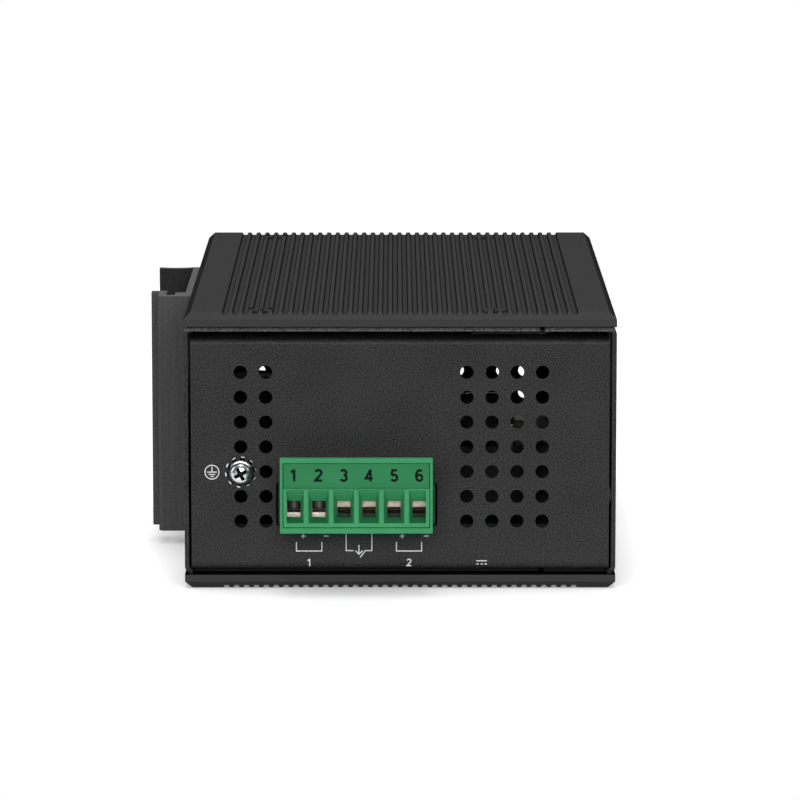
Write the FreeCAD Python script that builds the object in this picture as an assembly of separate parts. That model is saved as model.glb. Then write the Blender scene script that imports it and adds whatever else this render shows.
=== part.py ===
import FreeCAD, Part
import math
import os
from FreeCAD import Vector

# Industrial media converter lying on one finned side, as it is set down on a bench.
# X runs from the rail clip (rear, -X) to the port side (front, +X), Y from the power end (-Y) to the
# lower end (+Y), Z up. The origin is the centre of the lower cover's outer face. Millimetres.

# Body
body_depth = 88.0
body_height = 135.0
body_width = 57.0
sheet = 0.9
bend_radius = 1.6
sheet_edge_recess = 0.2
lap_gap = 0.1
front_flange_width = 15.1
seam_gap = 1.0
lower_flange_setback = 3.0

# Finned side covers and their screws
cover_thickness = 3.0
cover_chamfer = 1.45
rib_pitch = 2.03
groove_width = 1.3
groove_floor = 0.8
groove_depth = 0.6
rib_margin = 7.7
cover_screw_rear_inset = 15.6
cover_screw_front_inset = 24.8
cover_screw_inset = 6.4
cover_pocket_diameter = 5.4
cover_pocket_depth = 1.3
cover_screw_reach = 3.0
screw_thread_diameter = 2.9
screw_hole_diameter = 3.2
screw_head_diameter = 5.0
cover_head_height = 1.1

# End panels with their vent fields
panel_recess = 0.3
panel_side_gap = 0.5
panel_top_gap = 1.7
panel_return = 2.5
panel_top_return = 12.5
panel_top_bend = 0.5
panel_tab_width = 14.0
panel_tab_reach = 12.0
vent_diameter = 2.75
vent_pitch = 5.12
vent_rows = 7
vent_rear_columns = 2
vent_front_columns = 4
vent_rear_gap = 2.05
vent_front_gap = 6.0
vent_offset_z = 0.85
lower_vent_lift = 0.47
ground_row = 4

# Front panel: lap tabs and port openings
lap_tab_length = 9.0
lap_tab_reach = 9.5
joggle_length = 2.0
port_gap = 0.15
light_pipe_count = 4
light_pipe_diameter = 3.0
light_pipe_spacing = 4.5
light_pipe_inset = 6.0
light_pipe_height = 5.2
light_pipe_run = 7.0

# Circuit board and its standoffs
standoff_height = 7.6
standoff_across_flats = 5.0
standoff_rear_inset = 5.9
standoff_front_inset = 16.6
standoff_end_inset = 15.7
board_thickness = 1.6
board_edge_gap = 1.2
board_head_height = 1.8
board_screw_reach = 2.5
standoff_bore = 3.8

# Pluggable terminal: header in the panel, plug with rising cage clamps
pole_count = 6
pole_pitch = 5.08
terminal_x = -8.86
header_end_wall = 0.85
header_recess = 1.2
header_height = 8.6
header_wall = 0.8
header_depth = 12.0
header_back = 2.6
cutout_gap = 0.35
cutout_corner = 0.8
pin_size = 1.0
pin_tip_inset = 2.2
pin_bend = 0.75
plug_overhang = 0.185
plug_height = 15.4
plug_reach = 10.0
plug_drop = 0.2
plug_panel_gap = 0.4
nose_gap = 0.2
nose_depth = 8.2
frame_depth = 1.6
frame_top = 0.86
frame_bottom = 1.15
frame_side = 0.55
frame_step = 1.6
insert_gap = 0.12
insert_depth = 2.4
number_strip_height = 5.1
number_strip_recess = 0.6
funnel_height = 6.85
funnel_floor = 1.0
funnel_rib = 0.95
funnel_end_rib = 1.3
throat_width = 2.7
throat_height = 3.25
throat_floor = 1.85
chamber_width = 3.9
chamber_depth = 4.2
clamp_wall = 0.9
cage_width = 3.5
cage_depth = 3.6
cage_wall = 0.4
cage_lip = 0.95
cage_top = 1.9
cage_nose = 0.45
cage_gap = 0.15
clamp_travel = 1.6
clamp_raised = 1.5
raised_poles = (0, 1)
clamp_screw_diameter = 2.4
clamp_thread_gap = 0.08
clamp_head_diameter = 3.5
clamp_head_height = 2.0
clamp_head_gap = 0.15
clamp_head_lift = 0.05
clamp_tip_gap = 0.1
clamp_ledge = 2.0
clamp_slot_width = 0.6
clamp_slot_depth = 0.9
contact_width = 2.5
contact_inset = 0.9
contact_leaf = 0.4
contact_leaf_gap = 0.06
contact_nose = 0.18

# Earth screw on the power panel
earth_washer_diameter = 6.2
earth_washer_thickness = 0.5
earth_teeth = 10
earth_tooth_length = 0.75
earth_tooth_width = 0.81
earth_tooth_thickness = 0.275
earth_spring_diameter = 5.0
earth_spring_thickness = 0.8
earth_spring_split = 0.2
earth_head_diameter = 4.5
earth_head_height = 2.0
earth_crown = 0.8
earth_recess_span = 2.75
earth_recess_width = 0.7
earth_recess_depth = 1.2
earth_screw_reach = 5.0
earth_nut_across_flats = 5.5
earth_nut_height = 2.4

# Rail clip, an extruded profile across the rear wall, and its spring
clip_side_gap = 0.05
clip_drop = 0.25
clip_start_y = -18.5
clip_length = 48.0
clip_base = 2.0
clip_hook_wall = 2.1
clip_hook_reach = 7.7
clip_corner = 0.6
clip_lip_start = 5.9
clip_lip_length = 8.9
clip_flare = 1.65
clip_flare_thickness = 1.6
clip_seat = 4.2
clip_seat_length = 6.4
clip_seat_taper = 0.6
clip_end_wall = 1.5
clip_end_reach = 9.5
clip_end_wave = 1.0
clip_screw_spacing = 14.0
clip_screw_offset = 16.0
clip_nut_height = 1.6
rail_height = 35.0
rail_flange = 1.0
spring_thickness = 0.6
spring_width = 24.0
spring_bend = 0.9
spring_lean = 0.3
spring_nose_grip = 0.6
spring_flare = 3.0

# Copper port: shielded eight-way socket
jack_from_end = 59.5
jack_width = 16.0
jack_height = 13.4
jack_depth = 19.6
jack_shield = 0.4
jack_proud = 0.2
jack_mouth_width = 11.8
jack_mouth_height = 8.2
jack_mouth_depth = 14.0
jack_mouth_floor = 1.9
jack_latch_width = 6.2
jack_latch_height = 1.3
jack_contact_count = 8
jack_contact_pitch = 1.02
jack_contact_size = 0.4
jack_contact_start = 3.5
jack_contact_bend = 5.6
jack_contact_drop = 3.3

# Fibre port: transceiver cage with its board connector
fibre_from_end = 31.5
fibre_width = 14.9
fibre_height = 9.8
fibre_depth = 47.0
fibre_wall = 0.4
fibre_proud = 0.4
fibre_collar = 0.5
fibre_collar_length = 5.0
fibre_connector_depth = 7.0
fibre_connector_width = 11.4
fibre_connector_height = 5.6
fibre_connector_lift = 1.2

# Parts on the board: distances from the board's rear or front edge and from the body's power end
tall_capacitor = (12.5, 25.0)
tall_capacitor_rear_inset = 10.9
tall_capacitors_from_end = (27.5, 41.5)
small_capacitor = (8.0, 16.0)
small_capacitor_front_inset = 11.4
small_capacitor_from_end = 10.0
transformer_x = -6.0
transformer_from_end = 59.5
transformer_size = (24.0, 20.0, 17.0)
transformer_core = 6.0
transformer_yoke = 3.0
transformer_winding = 16.0
inductor_rear_inset = 9.0
inductors_from_end = (80.0, 93.5)
inductor_size = (12.0, 12.0, 8.0)
inductor_corner = 2.0
relay_rear_inset = 9.5
relay_from_end = 63.5
relay_size = (10.0, 20.0, 11.0)
chip_front_inset = 29.9
chip_lower_inset = 21.7
chip_size = (17.0, 17.0, 1.4)
heat_sink_size = (21.0, 21.0, 10.0)
heat_sink_base = 2.5
heat_sink_fins = 6
heat_sink_fin = 1.2

# Places worked out from the sizes above
half_depth = body_depth / 2
half_height = body_height / 2
sheet_end_y = half_height - sheet_edge_recess
lower_z = cover_thickness
upper_z = body_width - cover_thickness
middle_z = body_width / 2
wall_x = half_depth - sheet
floor_z = lower_z + sheet
seam_x = half_depth - front_flange_width
cover_screw_rear_x = -half_depth + cover_screw_rear_inset
cover_screw_front_x = half_depth - cover_screw_front_inset
cover_screw_x = (cover_screw_rear_x, cover_screw_front_x)
cover_screw_y = half_height - cover_screw_inset
panel_face_y = half_height - panel_recess
panel_back_y = panel_face_y - sheet
panel_half_width = wall_x - panel_side_gap
panel_top_z = upper_z - sheet - panel_top_gap
vent_z = middle_z + vent_offset_z
board_bottom_z = floor_z + standoff_height
board_z = board_bottom_z + board_thickness
board_front_x = wall_x - board_edge_gap
board_rear_x = -board_front_x
board_end_y = panel_back_y - board_edge_gap / 2
standoff_x = (board_rear_x + standoff_rear_inset, board_front_x - standoff_front_inset)
standoff_y = board_end_y - standoff_end_inset
pole_x = [terminal_x + (i - (pole_count - 1) / 2) * pole_pitch for i in range(pole_count)]
header_width = pole_count * pole_pitch + 2 * header_end_wall
header_y = -panel_face_y + header_recess
cutout_half_width = header_width / 2 + cutout_gap
vent_rear_half = (vent_rear_columns - 1) / 2 * vent_pitch
vent_front_half = (vent_front_columns - 1) / 2 * vent_pitch
vent_rear_x = terminal_x - cutout_half_width - vent_rear_gap - vent_rear_half
vent_front_x = terminal_x + cutout_half_width + vent_front_gap + vent_front_half
header_mid_z = board_z + header_height / 2
nose_width = header_width - 2 * header_wall - 2 * nose_gap
nose_height = header_height - 2 * header_wall - 2 * nose_gap
plug_width = pole_count * pole_pitch + 2 * plug_overhang
plug_face_y = -half_height - plug_reach
contact_reach = pin_size / 2 + contact_leaf_gap + contact_leaf
plug_back_y = -panel_face_y - plug_panel_gap
plug_z = board_z + plug_drop
plug_top_z = plug_z + plug_height
insert_back_y = plug_face_y + insert_depth
chamber_y = insert_back_y + clamp_wall
chamber_mid_y = chamber_y + chamber_depth / 2
cage_z = plug_z + frame_bottom + cage_gap
contact_z = cage_z + cage_lip + clamp_travel + cage_gap
contact_top_z = contact_z + contact_leaf
cage_window = clamp_travel + contact_leaf + 2 * cage_gap
cage_height = cage_lip + cage_window + cage_top
chamber_z = cage_z - cage_gap
chamber_top_z = cage_z + cage_height + clamp_travel + cage_gap
clamp_head_z = chamber_top_z + clamp_ledge
earth_x = vent_rear_x - vent_rear_half
earth_z = vent_z + ((vent_rows - 1) / 2 - ground_row) * vent_pitch
clip_x = -half_depth
clip_width = upper_z - lower_z - 2 * clip_side_gap
clip_z = lower_z + clip_side_gap - clip_drop
clip_mid_y = clip_start_y + clip_screw_offset + clip_screw_spacing / 2
jack_y = -half_height + jack_from_end
fibre_y = -half_height + fibre_from_end
light_pipe_first_y = -half_height + light_pipe_inset
tall_capacitor_x = board_rear_x + tall_capacitor_rear_inset
small_capacitor_x = board_front_x - small_capacitor_front_inset
small_capacitor_place = (small_capacitor_x, -half_height + small_capacitor_from_end)
transformer_place = (transformer_x, -half_height + transformer_from_end)
inductor_places = [(board_rear_x + inductor_rear_inset, y - half_height) for y in inductors_from_end]
relay_place = (board_rear_x + relay_rear_inset, -half_height + relay_from_end)
chip_place = (board_front_x - chip_front_inset, board_end_y - chip_lower_inset)


def box(low, high):
    """A block between two opposite corners."""
    size = Vector(*high) - Vector(*low)
    return Part.makeBox(size.x, size.y, size.z, Vector(*low))


def rod(diameter, length, start, axis):
    """A round bar from a start point along an axis."""
    return Part.makeCylinder(diameter / 2, length, Vector(*start), Vector(*axis))


def prism(points, run):
    """A closed outline of 3-D points, swept straight along run."""
    outline = Part.makePolygon([Vector(*p) for p in list(points) + [points[0]]])
    return Part.Face(outline).extrude(Vector(*run))


def hexagon(across_flats, height, base):
    """A hexagonal bar standing on a point, along Z."""
    radius = across_flats / math.sqrt(3)
    corners = [(base[0] + radius * math.cos(math.radians(60 * i)),
                base[1] + radius * math.sin(math.radians(60 * i)), base[2]) for i in range(6)]
    return prism(corners, (0, 0, height))


def group(solids):
    """Separate solids that share one node."""
    return Part.makeCompound(solids)


def fuse(solids):
    """One solid from several that touch or overlap."""
    return solids[0].multiFuse(solids[1:]).removeSplitter() if len(solids) > 1 else solids[0]


def edges_along(shape, axis):
    """The straight edges of a shape that run along an axis."""
    return [e for e in shape.Edges if abs(e.tangentAt(e.FirstParameter).dot(Vector(*axis))) > 0.99]


def mirror_y(shape):
    """The same shape at the other end of the body."""
    return shape.mirror(Vector(0, 0, 0), Vector(0, 1, 0))


def ribbon(path, thickness, radius, place, run):
    """Folded sheet: a centre line of straight runs with bends of one radius, given thickness and swept."""
    line = [Vector(a, b, 0) for a, b in path]
    sides = {1: [], -1: []}
    starts = {1: None, -1: None}
    for i, point in enumerate(line):
        before = (point - line[i - 1]).normalize() if i > 0 else None
        after = (line[i + 1] - point).normalize() if i < len(line) - 1 else None
        for side in (1, -1):
            def shifted(p, direction):
                return p + Vector(-direction.y, direction.x, 0) * (side * thickness / 2)
            if before is None:
                starts[side] = shifted(point, after)
                continue
            if after is None:
                sides[side].append(Part.LineSegment(place(starts[side]), place(shifted(point, before))))
                starts[side] = shifted(point, before)
                continue
            turn = before.getAngle(after)
            left = 1 if before.cross(after).z > 0 else -1
            tangent = radius * math.tan(turn / 2)
            enter, leave = point - before * tangent, point + after * tangent
            centre = enter + Vector(-before.y, before.x, 0) * (left * radius)
            outward = (point - centre).normalize()
            crown = centre + outward * (radius - left * side * thickness / 2)
            bend_start, bend_end = shifted(enter, before), shifted(leave, after)
            sides[side].append(Part.LineSegment(place(starts[side]), place(bend_start)))
            sides[side].append(Part.Arc(place(bend_start), place(crown), place(bend_end)))
            starts[side] = bend_end
    caps = [Part.LineSegment(place(starts[1]), place(starts[-1])),
            Part.LineSegment(sides[-1][0].StartPoint, sides[1][0].StartPoint)]
    edges = [e.toShape() for e in sides[1] + [caps[0]] + sides[-1][::-1] + [caps[1]]]
    outline = Part.Wire(Part.__sortEdges__(edges))
    return Part.Face(outline).extrude(Vector(*run))


def section_xz(y):
    """Places a flat (a, b) point at X = a, Z = b."""
    return lambda p: Vector(p.x, y, p.y)


def section_yz(x):
    """Places a flat (a, b) point at Y = a, Z = b."""
    return lambda p: Vector(x, p.x, p.y)


def section_clip(z):
    """Places a clip point, a outward from the rear wall and b along the clip, in the row frame."""
    return lambda p: Vector(clip_x - p.x, clip_start_y + p.y, z)


def vent_centres(columns, field_x, field_z):
    """Centres of one vent field, column by column, as (column, row, x, z)."""
    for column in range(columns):
        for row in range(vent_rows):
            x = field_x + (column - (columns - 1) / 2) * vent_pitch
            yield column, row, x, field_z + ((vent_rows - 1) / 2 - row) * vent_pitch


def finned_cover():
    """Lower cover: chamfered plate with flat-bottomed grooves along Y and four screw pockets."""
    plate = box((-half_depth, -half_height, 0), (half_depth, half_height, cover_thickness))
    outer_edges = [e for e in plate.Edges if all(abs(v.Z) < 1e-6 for v in e.Vertexes)]
    plate = plate.makeChamfer(cover_chamfer, outer_edges)
    count = 1 + int((body_depth - 2 * rib_margin - groove_width) / rib_pitch)
    cuts = []
    for i in range(count):
        x = (i - (count - 1) / 2) * rib_pitch
        outline = [(x + side * width / 2, -half_height, z) for side, width, z in
                   ((-1, groove_width, 0), (-1, groove_floor, groove_depth),
                    (1, groove_floor, groove_depth), (1, groove_width, 0))]
        cuts.append(prism(outline, (0, body_height, 0)))
    plate = plate.cut(group(cuts))
    for x in cover_screw_x:
        for y in (-cover_screw_y, cover_screw_y):
            plate = plate.cut(rod(cover_pocket_diameter, cover_pocket_depth, (x, y, 0), (0, 0, 1)))
            plate = plate.cut(rod(screw_hole_diameter, cover_thickness, (x, y, 0), (0, 0, 1)))
    return plate


def cover_screws():
    """Four screws of the lower cover, heads in the pockets, threads in the folded flanges."""
    solids = []
    for x in cover_screw_x:
        for y in (-cover_screw_y, cover_screw_y):
            head = rod(screw_head_diameter, cover_head_height,
                       (x, y, cover_pocket_depth - cover_head_height), (0, 0, 1))
            shank = rod(screw_thread_diameter, cover_thickness - cover_pocket_depth + cover_screw_reach,
                        (x, y, cover_pocket_depth), (0, 0, 1))
            solids.append(fuse([head, shank]))
    return group(solids)


def other_side(shape):
    """The same shape on the upper side of the body."""
    return shape.mirror(Vector(0, 0, middle_z), Vector(0, 0, 1))


def cover_screw_holes(first_z, last_z):
    """Cutters for the cover screws through the sheets between two heights."""
    return group([rod(screw_hole_diameter, last_z - first_z, (x, y, first_z), (0, 0, 1))
                  for x in cover_screw_x for y in (-cover_screw_y, cover_screw_y)])


def clip_screw_places():
    """The clip's two screws, along the middle of the rear wall."""
    return [(clip_mid_y + side * clip_screw_spacing / 2, middle_z) for side in (-1, 1)]


def chassis():
    """Rear wall with a wide flange above and below, folded from one sheet."""
    flange_x = seam_x - seam_gap / 2
    path = [(flange_x, upper_z - sheet / 2), (-half_depth + sheet / 2, upper_z - sheet / 2),
            (-half_depth + sheet / 2, lower_z + sheet / 2), (flange_x, lower_z + sheet / 2)]
    shell = ribbon(path, sheet, bend_radius - sheet / 2, section_xz(-sheet_end_y), (0, 2 * sheet_end_y, 0))
    for side in (-1, 1):
        near, far = sorted((side * sheet_end_y, side * (sheet_end_y - lower_flange_setback)))
        shell = shell.cut(box((-half_depth + bend_radius, near, lower_z), (flange_x, far, floor_z)))
    shell = shell.cut(cover_screw_holes(lower_z, upper_z))
    for y, z in clip_screw_places():
        shell = shell.cut(rod(screw_hole_diameter, sheet, (-half_depth, y, z), (1, 0, 0)))
    return shell


def front_panel():
    """Port wall with narrow flanges, and joggled tabs that lap inside the chassis flanges."""
    flange_x = seam_x + seam_gap / 2
    path = [(flange_x, upper_z - sheet / 2), (half_depth - sheet / 2, upper_z - sheet / 2),
            (half_depth - sheet / 2, lower_z + sheet / 2), (flange_x, lower_z + sheet / 2)]
    shell = ribbon(path, sheet, bend_radius - sheet / 2, section_xz(-sheet_end_y), (0, 2 * sheet_end_y, 0))
    root_x = flange_x + joggle_length
    drop = sheet + lap_gap
    outer_z = lower_z + sheet / 2
    tab_path = [(root_x + joggle_length, outer_z), (root_x, outer_z), (flange_x, outer_z + drop),
                (cover_screw_front_x - lap_tab_reach / 2, outer_z + drop)]
    for side in (-1, 1):
        start_y = side * (panel_back_y - panel_return) - (lap_tab_length if side > 0 else 0)
        tab = ribbon(tab_path, sheet, sheet, section_xz(start_y), (0, lap_tab_length, 0))
        for placed in (tab, other_side(tab)):
            low, high = placed.BoundBox.ZMin, placed.BoundBox.ZMax
            shell = shell.cut(box((flange_x, start_y, low), (root_x, start_y + lap_tab_length, high)))
            shell = shell.fuse(placed)
        low, high = sorted((side * sheet_end_y, side * (sheet_end_y - lower_flange_setback)))
        shell = shell.cut(box((flange_x, low, lower_z), (half_depth - bend_radius, high, floor_z)))
    shell = shell.removeSplitter().cut(cover_screw_holes(lower_z, upper_z))
    ports = ((jack_y, jack_width, jack_height, 0), (fibre_y, fibre_width, fibre_height, fibre_collar))
    for centre_y, width, height, collar in ports:
        half_width = width / 2 + collar + port_gap
        low_z, high_z = board_z - collar - port_gap, board_z + height + collar + port_gap
        shell = shell.cut(box((wall_x, centre_y - half_width, low_z),
                              (half_depth, centre_y + half_width, high_z)))
    for y, z in light_pipe_places():
        shell = shell.cut(rod(light_pipe_diameter + 2 * port_gap, sheet, (wall_x, y, z), (1, 0, 0)))
    return shell


def light_pipe_places():
    """Centres of the indicator light pipes on the front wall."""
    return [(light_pipe_first_y + i * light_pipe_spacing, board_z + light_pipe_height)
            for i in range(light_pipe_count)]


def end_panel():
    """Panel of the power end: a plate with a return above and below, and a tab to the cover screw."""
    centre_y = -panel_face_y + sheet / 2
    return_z = floor_z + sheet / 2
    top_z = panel_top_z - sheet / 2
    split_z = middle_z
    upper_path = [(centre_y + panel_top_return, top_z), (centre_y, top_z), (centre_y, split_z)]
    lower_path = [(centre_y, split_z), (centre_y, return_z), (centre_y + panel_return, return_z)]
    place = section_yz(-panel_half_width)
    run = (2 * panel_half_width, 0, 0)
    panel = fuse([ribbon(upper_path, sheet, panel_top_bend, place, run),
                  ribbon(lower_path, sheet, bend_radius - sheet / 2, place, run)])
    tab = box((cover_screw_rear_x - panel_tab_width / 2, centre_y + panel_return, floor_z),
              (cover_screw_rear_x + panel_tab_width / 2, centre_y + panel_tab_reach, floor_z + sheet))
    panel = fuse([panel, tab])
    return panel.cut(cover_screw_holes(floor_z, panel_top_z))


def vent_cutters(lift, skip_earth):
    """The two vent fields of an end panel, the earth screw's place left out of one if asked."""
    cuts = []
    for columns, field_x in ((vent_rear_columns, vent_rear_x), (vent_front_columns, vent_front_x)):
        for column, row, x, z in vent_centres(columns, field_x, vent_z + lift):
            is_earth = field_x == vent_rear_x and column == 0 and row == ground_row
            if not (is_earth and skip_earth):
                cuts.append(rod(vent_diameter, sheet, (x, -panel_face_y, z), (0, 1, 0)))
    return group(cuts)


def power_panel():
    """Power end: vents, the terminal's rounded cut-out and the earth screw's hole."""
    panel = end_panel().cut(vent_cutters(0, True))
    cutout = box((terminal_x - cutout_half_width, -panel_face_y, board_z - cutout_gap / 2),
                 (terminal_x + cutout_half_width, -panel_back_y, board_z + header_height + cutout_gap))
    cutout = cutout.makeFillet(cutout_corner, edges_along(cutout, (0, 1, 0)))
    earth = rod(screw_hole_diameter, sheet, (earth_x, -panel_face_y, earth_z), (0, 1, 0))
    return panel.cut(cutout).cut(earth)


def lower_panel():
    """Lower end: the same plate with both vent fields whole."""
    return mirror_y(end_panel().cut(vent_cutters(lower_vent_lift, False)))


def main_board():
    """Circuit board on four standoffs, with their screw holes."""
    board = box((board_rear_x, -board_end_y, board_bottom_z), (board_front_x, board_end_y, board_z))
    for x, y in standoff_places():
        board = board.cut(rod(screw_hole_diameter, board_thickness, (x, y, board_bottom_z), (0, 0, 1)))
    return board


def standoff_places():
    """Where the board is held."""
    return [(x, side * standoff_y) for x in standoff_x for side in (-1, 1)]


def board_standoffs():
    """Hexagonal standoffs from the chassis floor to the board, tapped at the top."""
    solids = []
    for x, y in standoff_places():
        post = hexagon(standoff_across_flats, standoff_height, (x, y, floor_z))
        solids.append(post.cut(rod(screw_hole_diameter, standoff_bore, (x, y, board_bottom_z), (0, 0, -1))))
    return group(solids)


def board_screws():
    """Screws that hold the board down on the standoffs."""
    solids = []
    for x, y in standoff_places():
        head = rod(screw_head_diameter, board_head_height, (x, y, board_z), (0, 0, 1))
        reach = board_thickness + board_screw_reach
        shank = rod(screw_thread_diameter, reach, (x, y, board_z), (0, 0, -1))
        solids.append(fuse([head, shank]))
    return group(solids)


def terminal_header():
    """Male header: an open box on the board with its mouth in the panel."""
    left, right = terminal_x - header_width / 2, terminal_x + header_width / 2
    back_y = header_y + header_depth
    shell = box((left, header_y, board_z), (right, back_y, board_z + header_height))
    roof_z = board_z + header_height - header_wall
    shell = shell.cut(box((left + header_wall, header_y, board_z + header_wall),
                          (right - header_wall, back_y - header_back, roof_z)))
    half_pin = pin_size / 2
    for x in pole_x:
        shell = shell.cut(box((x - half_pin, back_y - header_back, header_mid_z - half_pin),
                              (x + half_pin, back_y, header_mid_z + half_pin)))
    return shell


def header_pins():
    """Six square pins, bent down through the board behind the header."""
    half_pin = pin_size / 2
    tip_y = header_y + pin_tip_inset
    bend_y = header_y + header_depth + pin_size
    solids = []
    for x in pole_x:
        path = [(tip_y, header_mid_z), (bend_y, header_mid_z), (bend_y, board_z)]
        solids.append(ribbon(path, pin_size, pin_bend, section_yz(x - half_pin), (pin_size, 0, 0)))
    return group(solids)


def plug_housing():
    """Plug body: front frame, clamp chambers with screw shafts, and the nose that enters the header."""
    left, right = terminal_x - plug_width / 2, terminal_x + plug_width / 2
    body_top_z = plug_top_z - frame_step
    frame = box((left, plug_face_y, plug_z), (right, plug_face_y + frame_depth, plug_top_z))
    body = box((left + frame_side, plug_face_y, plug_z), (right - frame_side, plug_back_y, body_top_z))
    nose = box((terminal_x - nose_width / 2, plug_back_y, header_mid_z - nose_height / 2),
               (terminal_x + nose_width / 2, header_y + nose_depth, header_mid_z + nose_height / 2))
    housing = fuse([frame, body, nose])
    cuts = [box((left + frame_side, plug_face_y, plug_z + frame_bottom),
                (right - frame_side, insert_back_y, plug_top_z - frame_top - insert_gap))]
    for x in pole_x:
        half_chamber = chamber_width / 2
        cuts.append(box((x - half_chamber, insert_back_y, chamber_z),
                        (x + half_chamber, chamber_y + chamber_depth, chamber_top_z)))
        cuts.append(rod(clamp_screw_diameter + 2 * clamp_head_gap, clamp_ledge,
                        (x, chamber_mid_y, chamber_top_z), (0, 0, 1)))
        cuts.append(rod(clamp_head_diameter + 2 * clamp_head_gap, body_top_z - clamp_head_z,
                        (x, chamber_mid_y, clamp_head_z), (0, 0, 1)))
        slot = contact_width / 2 + cage_gap
        cuts.append(box((x - slot, chamber_y + chamber_depth, header_mid_z - contact_reach - cage_gap),
                        (x + slot, header_y + nose_depth, header_mid_z + contact_reach + cage_gap)))
    return housing.cut(group(cuts[1:])).cut(cuts[0])


def funnel(x, left, right):
    """Wire entry: a pyramid from the plug's face down to the clamp."""
    face_z = plug_z + frame_bottom + funnel_floor
    throat_z = plug_z + frame_bottom + throat_floor
    half = throat_width / 2
    return Part.makeWedge(left, plug_face_y, face_z, throat_z, x - half,
                          right, insert_back_y, face_z + funnel_height, throat_z + throat_height, x + half)


def wire_guide():
    """Insert in the plug's front: a recessed strip for the pole numbers and six funnels below it."""
    left = terminal_x - plug_width / 2 + frame_side + insert_gap
    right = terminal_x + plug_width / 2 - frame_side - insert_gap
    low_z = plug_z + frame_bottom + insert_gap
    high_z = plug_top_z - frame_top - 2 * insert_gap
    guide = box((left, plug_face_y, low_z), (right, insert_back_y, high_z))
    guide = guide.cut(box((left, plug_face_y, high_z - number_strip_height),
                          (right, plug_face_y + number_strip_recess, high_z)))
    half_mouth = (pole_pitch - funnel_rib) / 2
    first_left = left + funnel_end_rib - frame_side
    last_right = right - funnel_end_rib + frame_side
    mouths = []
    for x in pole_x:
        mouth_left = first_left if x == pole_x[0] else x - half_mouth
        mouth_right = last_right if x == pole_x[-1] else x + half_mouth
        mouths.append(funnel(x, mouth_left, mouth_right))
    return guide.cut(group(mouths))


def clamp_cage(pole):
    """Rising cage of one pole: a lip under the wire, two sides and a round-nosed, tapped top block."""
    x = pole_x[pole]
    lift = clamp_raised if pole in raised_poles else 0
    low_z = cage_z + lift
    near_y, far_y = chamber_mid_y - cage_depth / 2, chamber_mid_y + cage_depth / 2
    cage = box((x - cage_width / 2, near_y, low_z), (x + cage_width / 2, far_y, low_z + cage_height))
    block_z = low_z + cage_lip + cage_window
    window = box((x - cage_width / 2 + cage_wall, near_y, low_z + cage_lip),
                 (x + cage_width / 2 - cage_wall, far_y, block_z))
    cage = cage.cut(window)
    nose = [e for e in edges_along(cage, (1, 0, 0))
            if all(abs(v.Y - near_y) < 1e-6 and abs(v.Z - block_z) < 1e-6 for v in e.Vertexes)]
    cage = cage.makeFillet(cage_nose, nose)
    return cage.cut(rod(clamp_screw_diameter + 2 * clamp_thread_gap, cage_top,
                        (x, chamber_mid_y, block_z), (0, 0, 1)))


def clamp_screw(pole):
    """Slotted clamp screw of one pole, captive under its shaft."""
    x = pole_x[pole]
    head_z = clamp_head_z + clamp_head_lift
    head_top_z = head_z + clamp_head_height
    tip_z = contact_top_z + clamp_tip_gap
    head = rod(clamp_head_diameter, clamp_head_height, (x, chamber_mid_y, head_z), (0, 0, 1))
    shank = rod(clamp_screw_diameter, head_z - tip_z, (x, chamber_mid_y, tip_z), (0, 0, 1))
    half_slot = clamp_slot_width / 2
    slot = box((x - half_slot, chamber_mid_y - clamp_head_diameter, head_top_z - clamp_slot_depth),
               (x + half_slot, chamber_mid_y + clamp_head_diameter, head_top_z))
    return fuse([head, shank]).cut(slot)


def plug_contacts():
    """Six contacts: a round-nosed leaf through each cage, and two leaves that hold the header's pin."""
    solids = []
    nose_y = chamber_mid_y - cage_depth / 2 + contact_inset
    neck_y = chamber_y + chamber_depth
    leaf_end_y = header_y + nose_depth - contact_leaf
    half_width = contact_width / 2
    half_gap = contact_reach - contact_leaf
    for x in pole_x:
        bar = box((x - half_width, nose_y, contact_z),
                  (x + half_width, neck_y + contact_leaf, contact_top_z))
        nose_edges = [e for e in edges_along(bar, (1, 0, 0)) if abs(e.Vertexes[0].Y - nose_y) < 1e-6]
        bar = bar.makeFillet(contact_nose, nose_edges)
        socket = box((x - half_width, neck_y, header_mid_z - contact_reach),
                     (x + half_width, leaf_end_y, header_mid_z + contact_reach))
        gap = box((x - half_width, neck_y + contact_leaf, header_mid_z - half_gap),
                  (x + half_width, leaf_end_y, header_mid_z + half_gap))
        solids.append(fuse([bar, socket.cut(gap)]))
    return group(solids)


def earth_washer():
    """Toothed lock washer: a ring with radial teeth, each twisted out of the plane."""
    ring_radius = earth_washer_diameter / 2 - earth_tooth_length
    front, back = -panel_face_y - earth_washer_thickness, -panel_face_y
    face = (earth_x, front, earth_z)
    ring = rod(2 * ring_radius, earth_washer_thickness, face, (0, 1, 0))
    ring = ring.cut(rod(screw_hole_diameter, earth_washer_thickness, face, (0, 1, 0)))
    solids = [ring]
    root, half = ring_radius - earth_tooth_thickness, earth_tooth_width / 2
    section = [(root, front, -half), (root, back - earth_tooth_thickness, half),
               (root, back, half), (root, front + earth_tooth_thickness, -half)]
    run = (earth_washer_diameter / 2 - root, 0, 0)
    for i in range(earth_teeth):
        tooth = prism(section, run)
        tooth.rotate(Vector(0, 0, 0), Vector(0, 1, 0), 360 / earth_teeth * i)
        tooth.translate(Vector(earth_x, 0, earth_z))
        solids.append(tooth)
    return fuse(solids)


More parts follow.
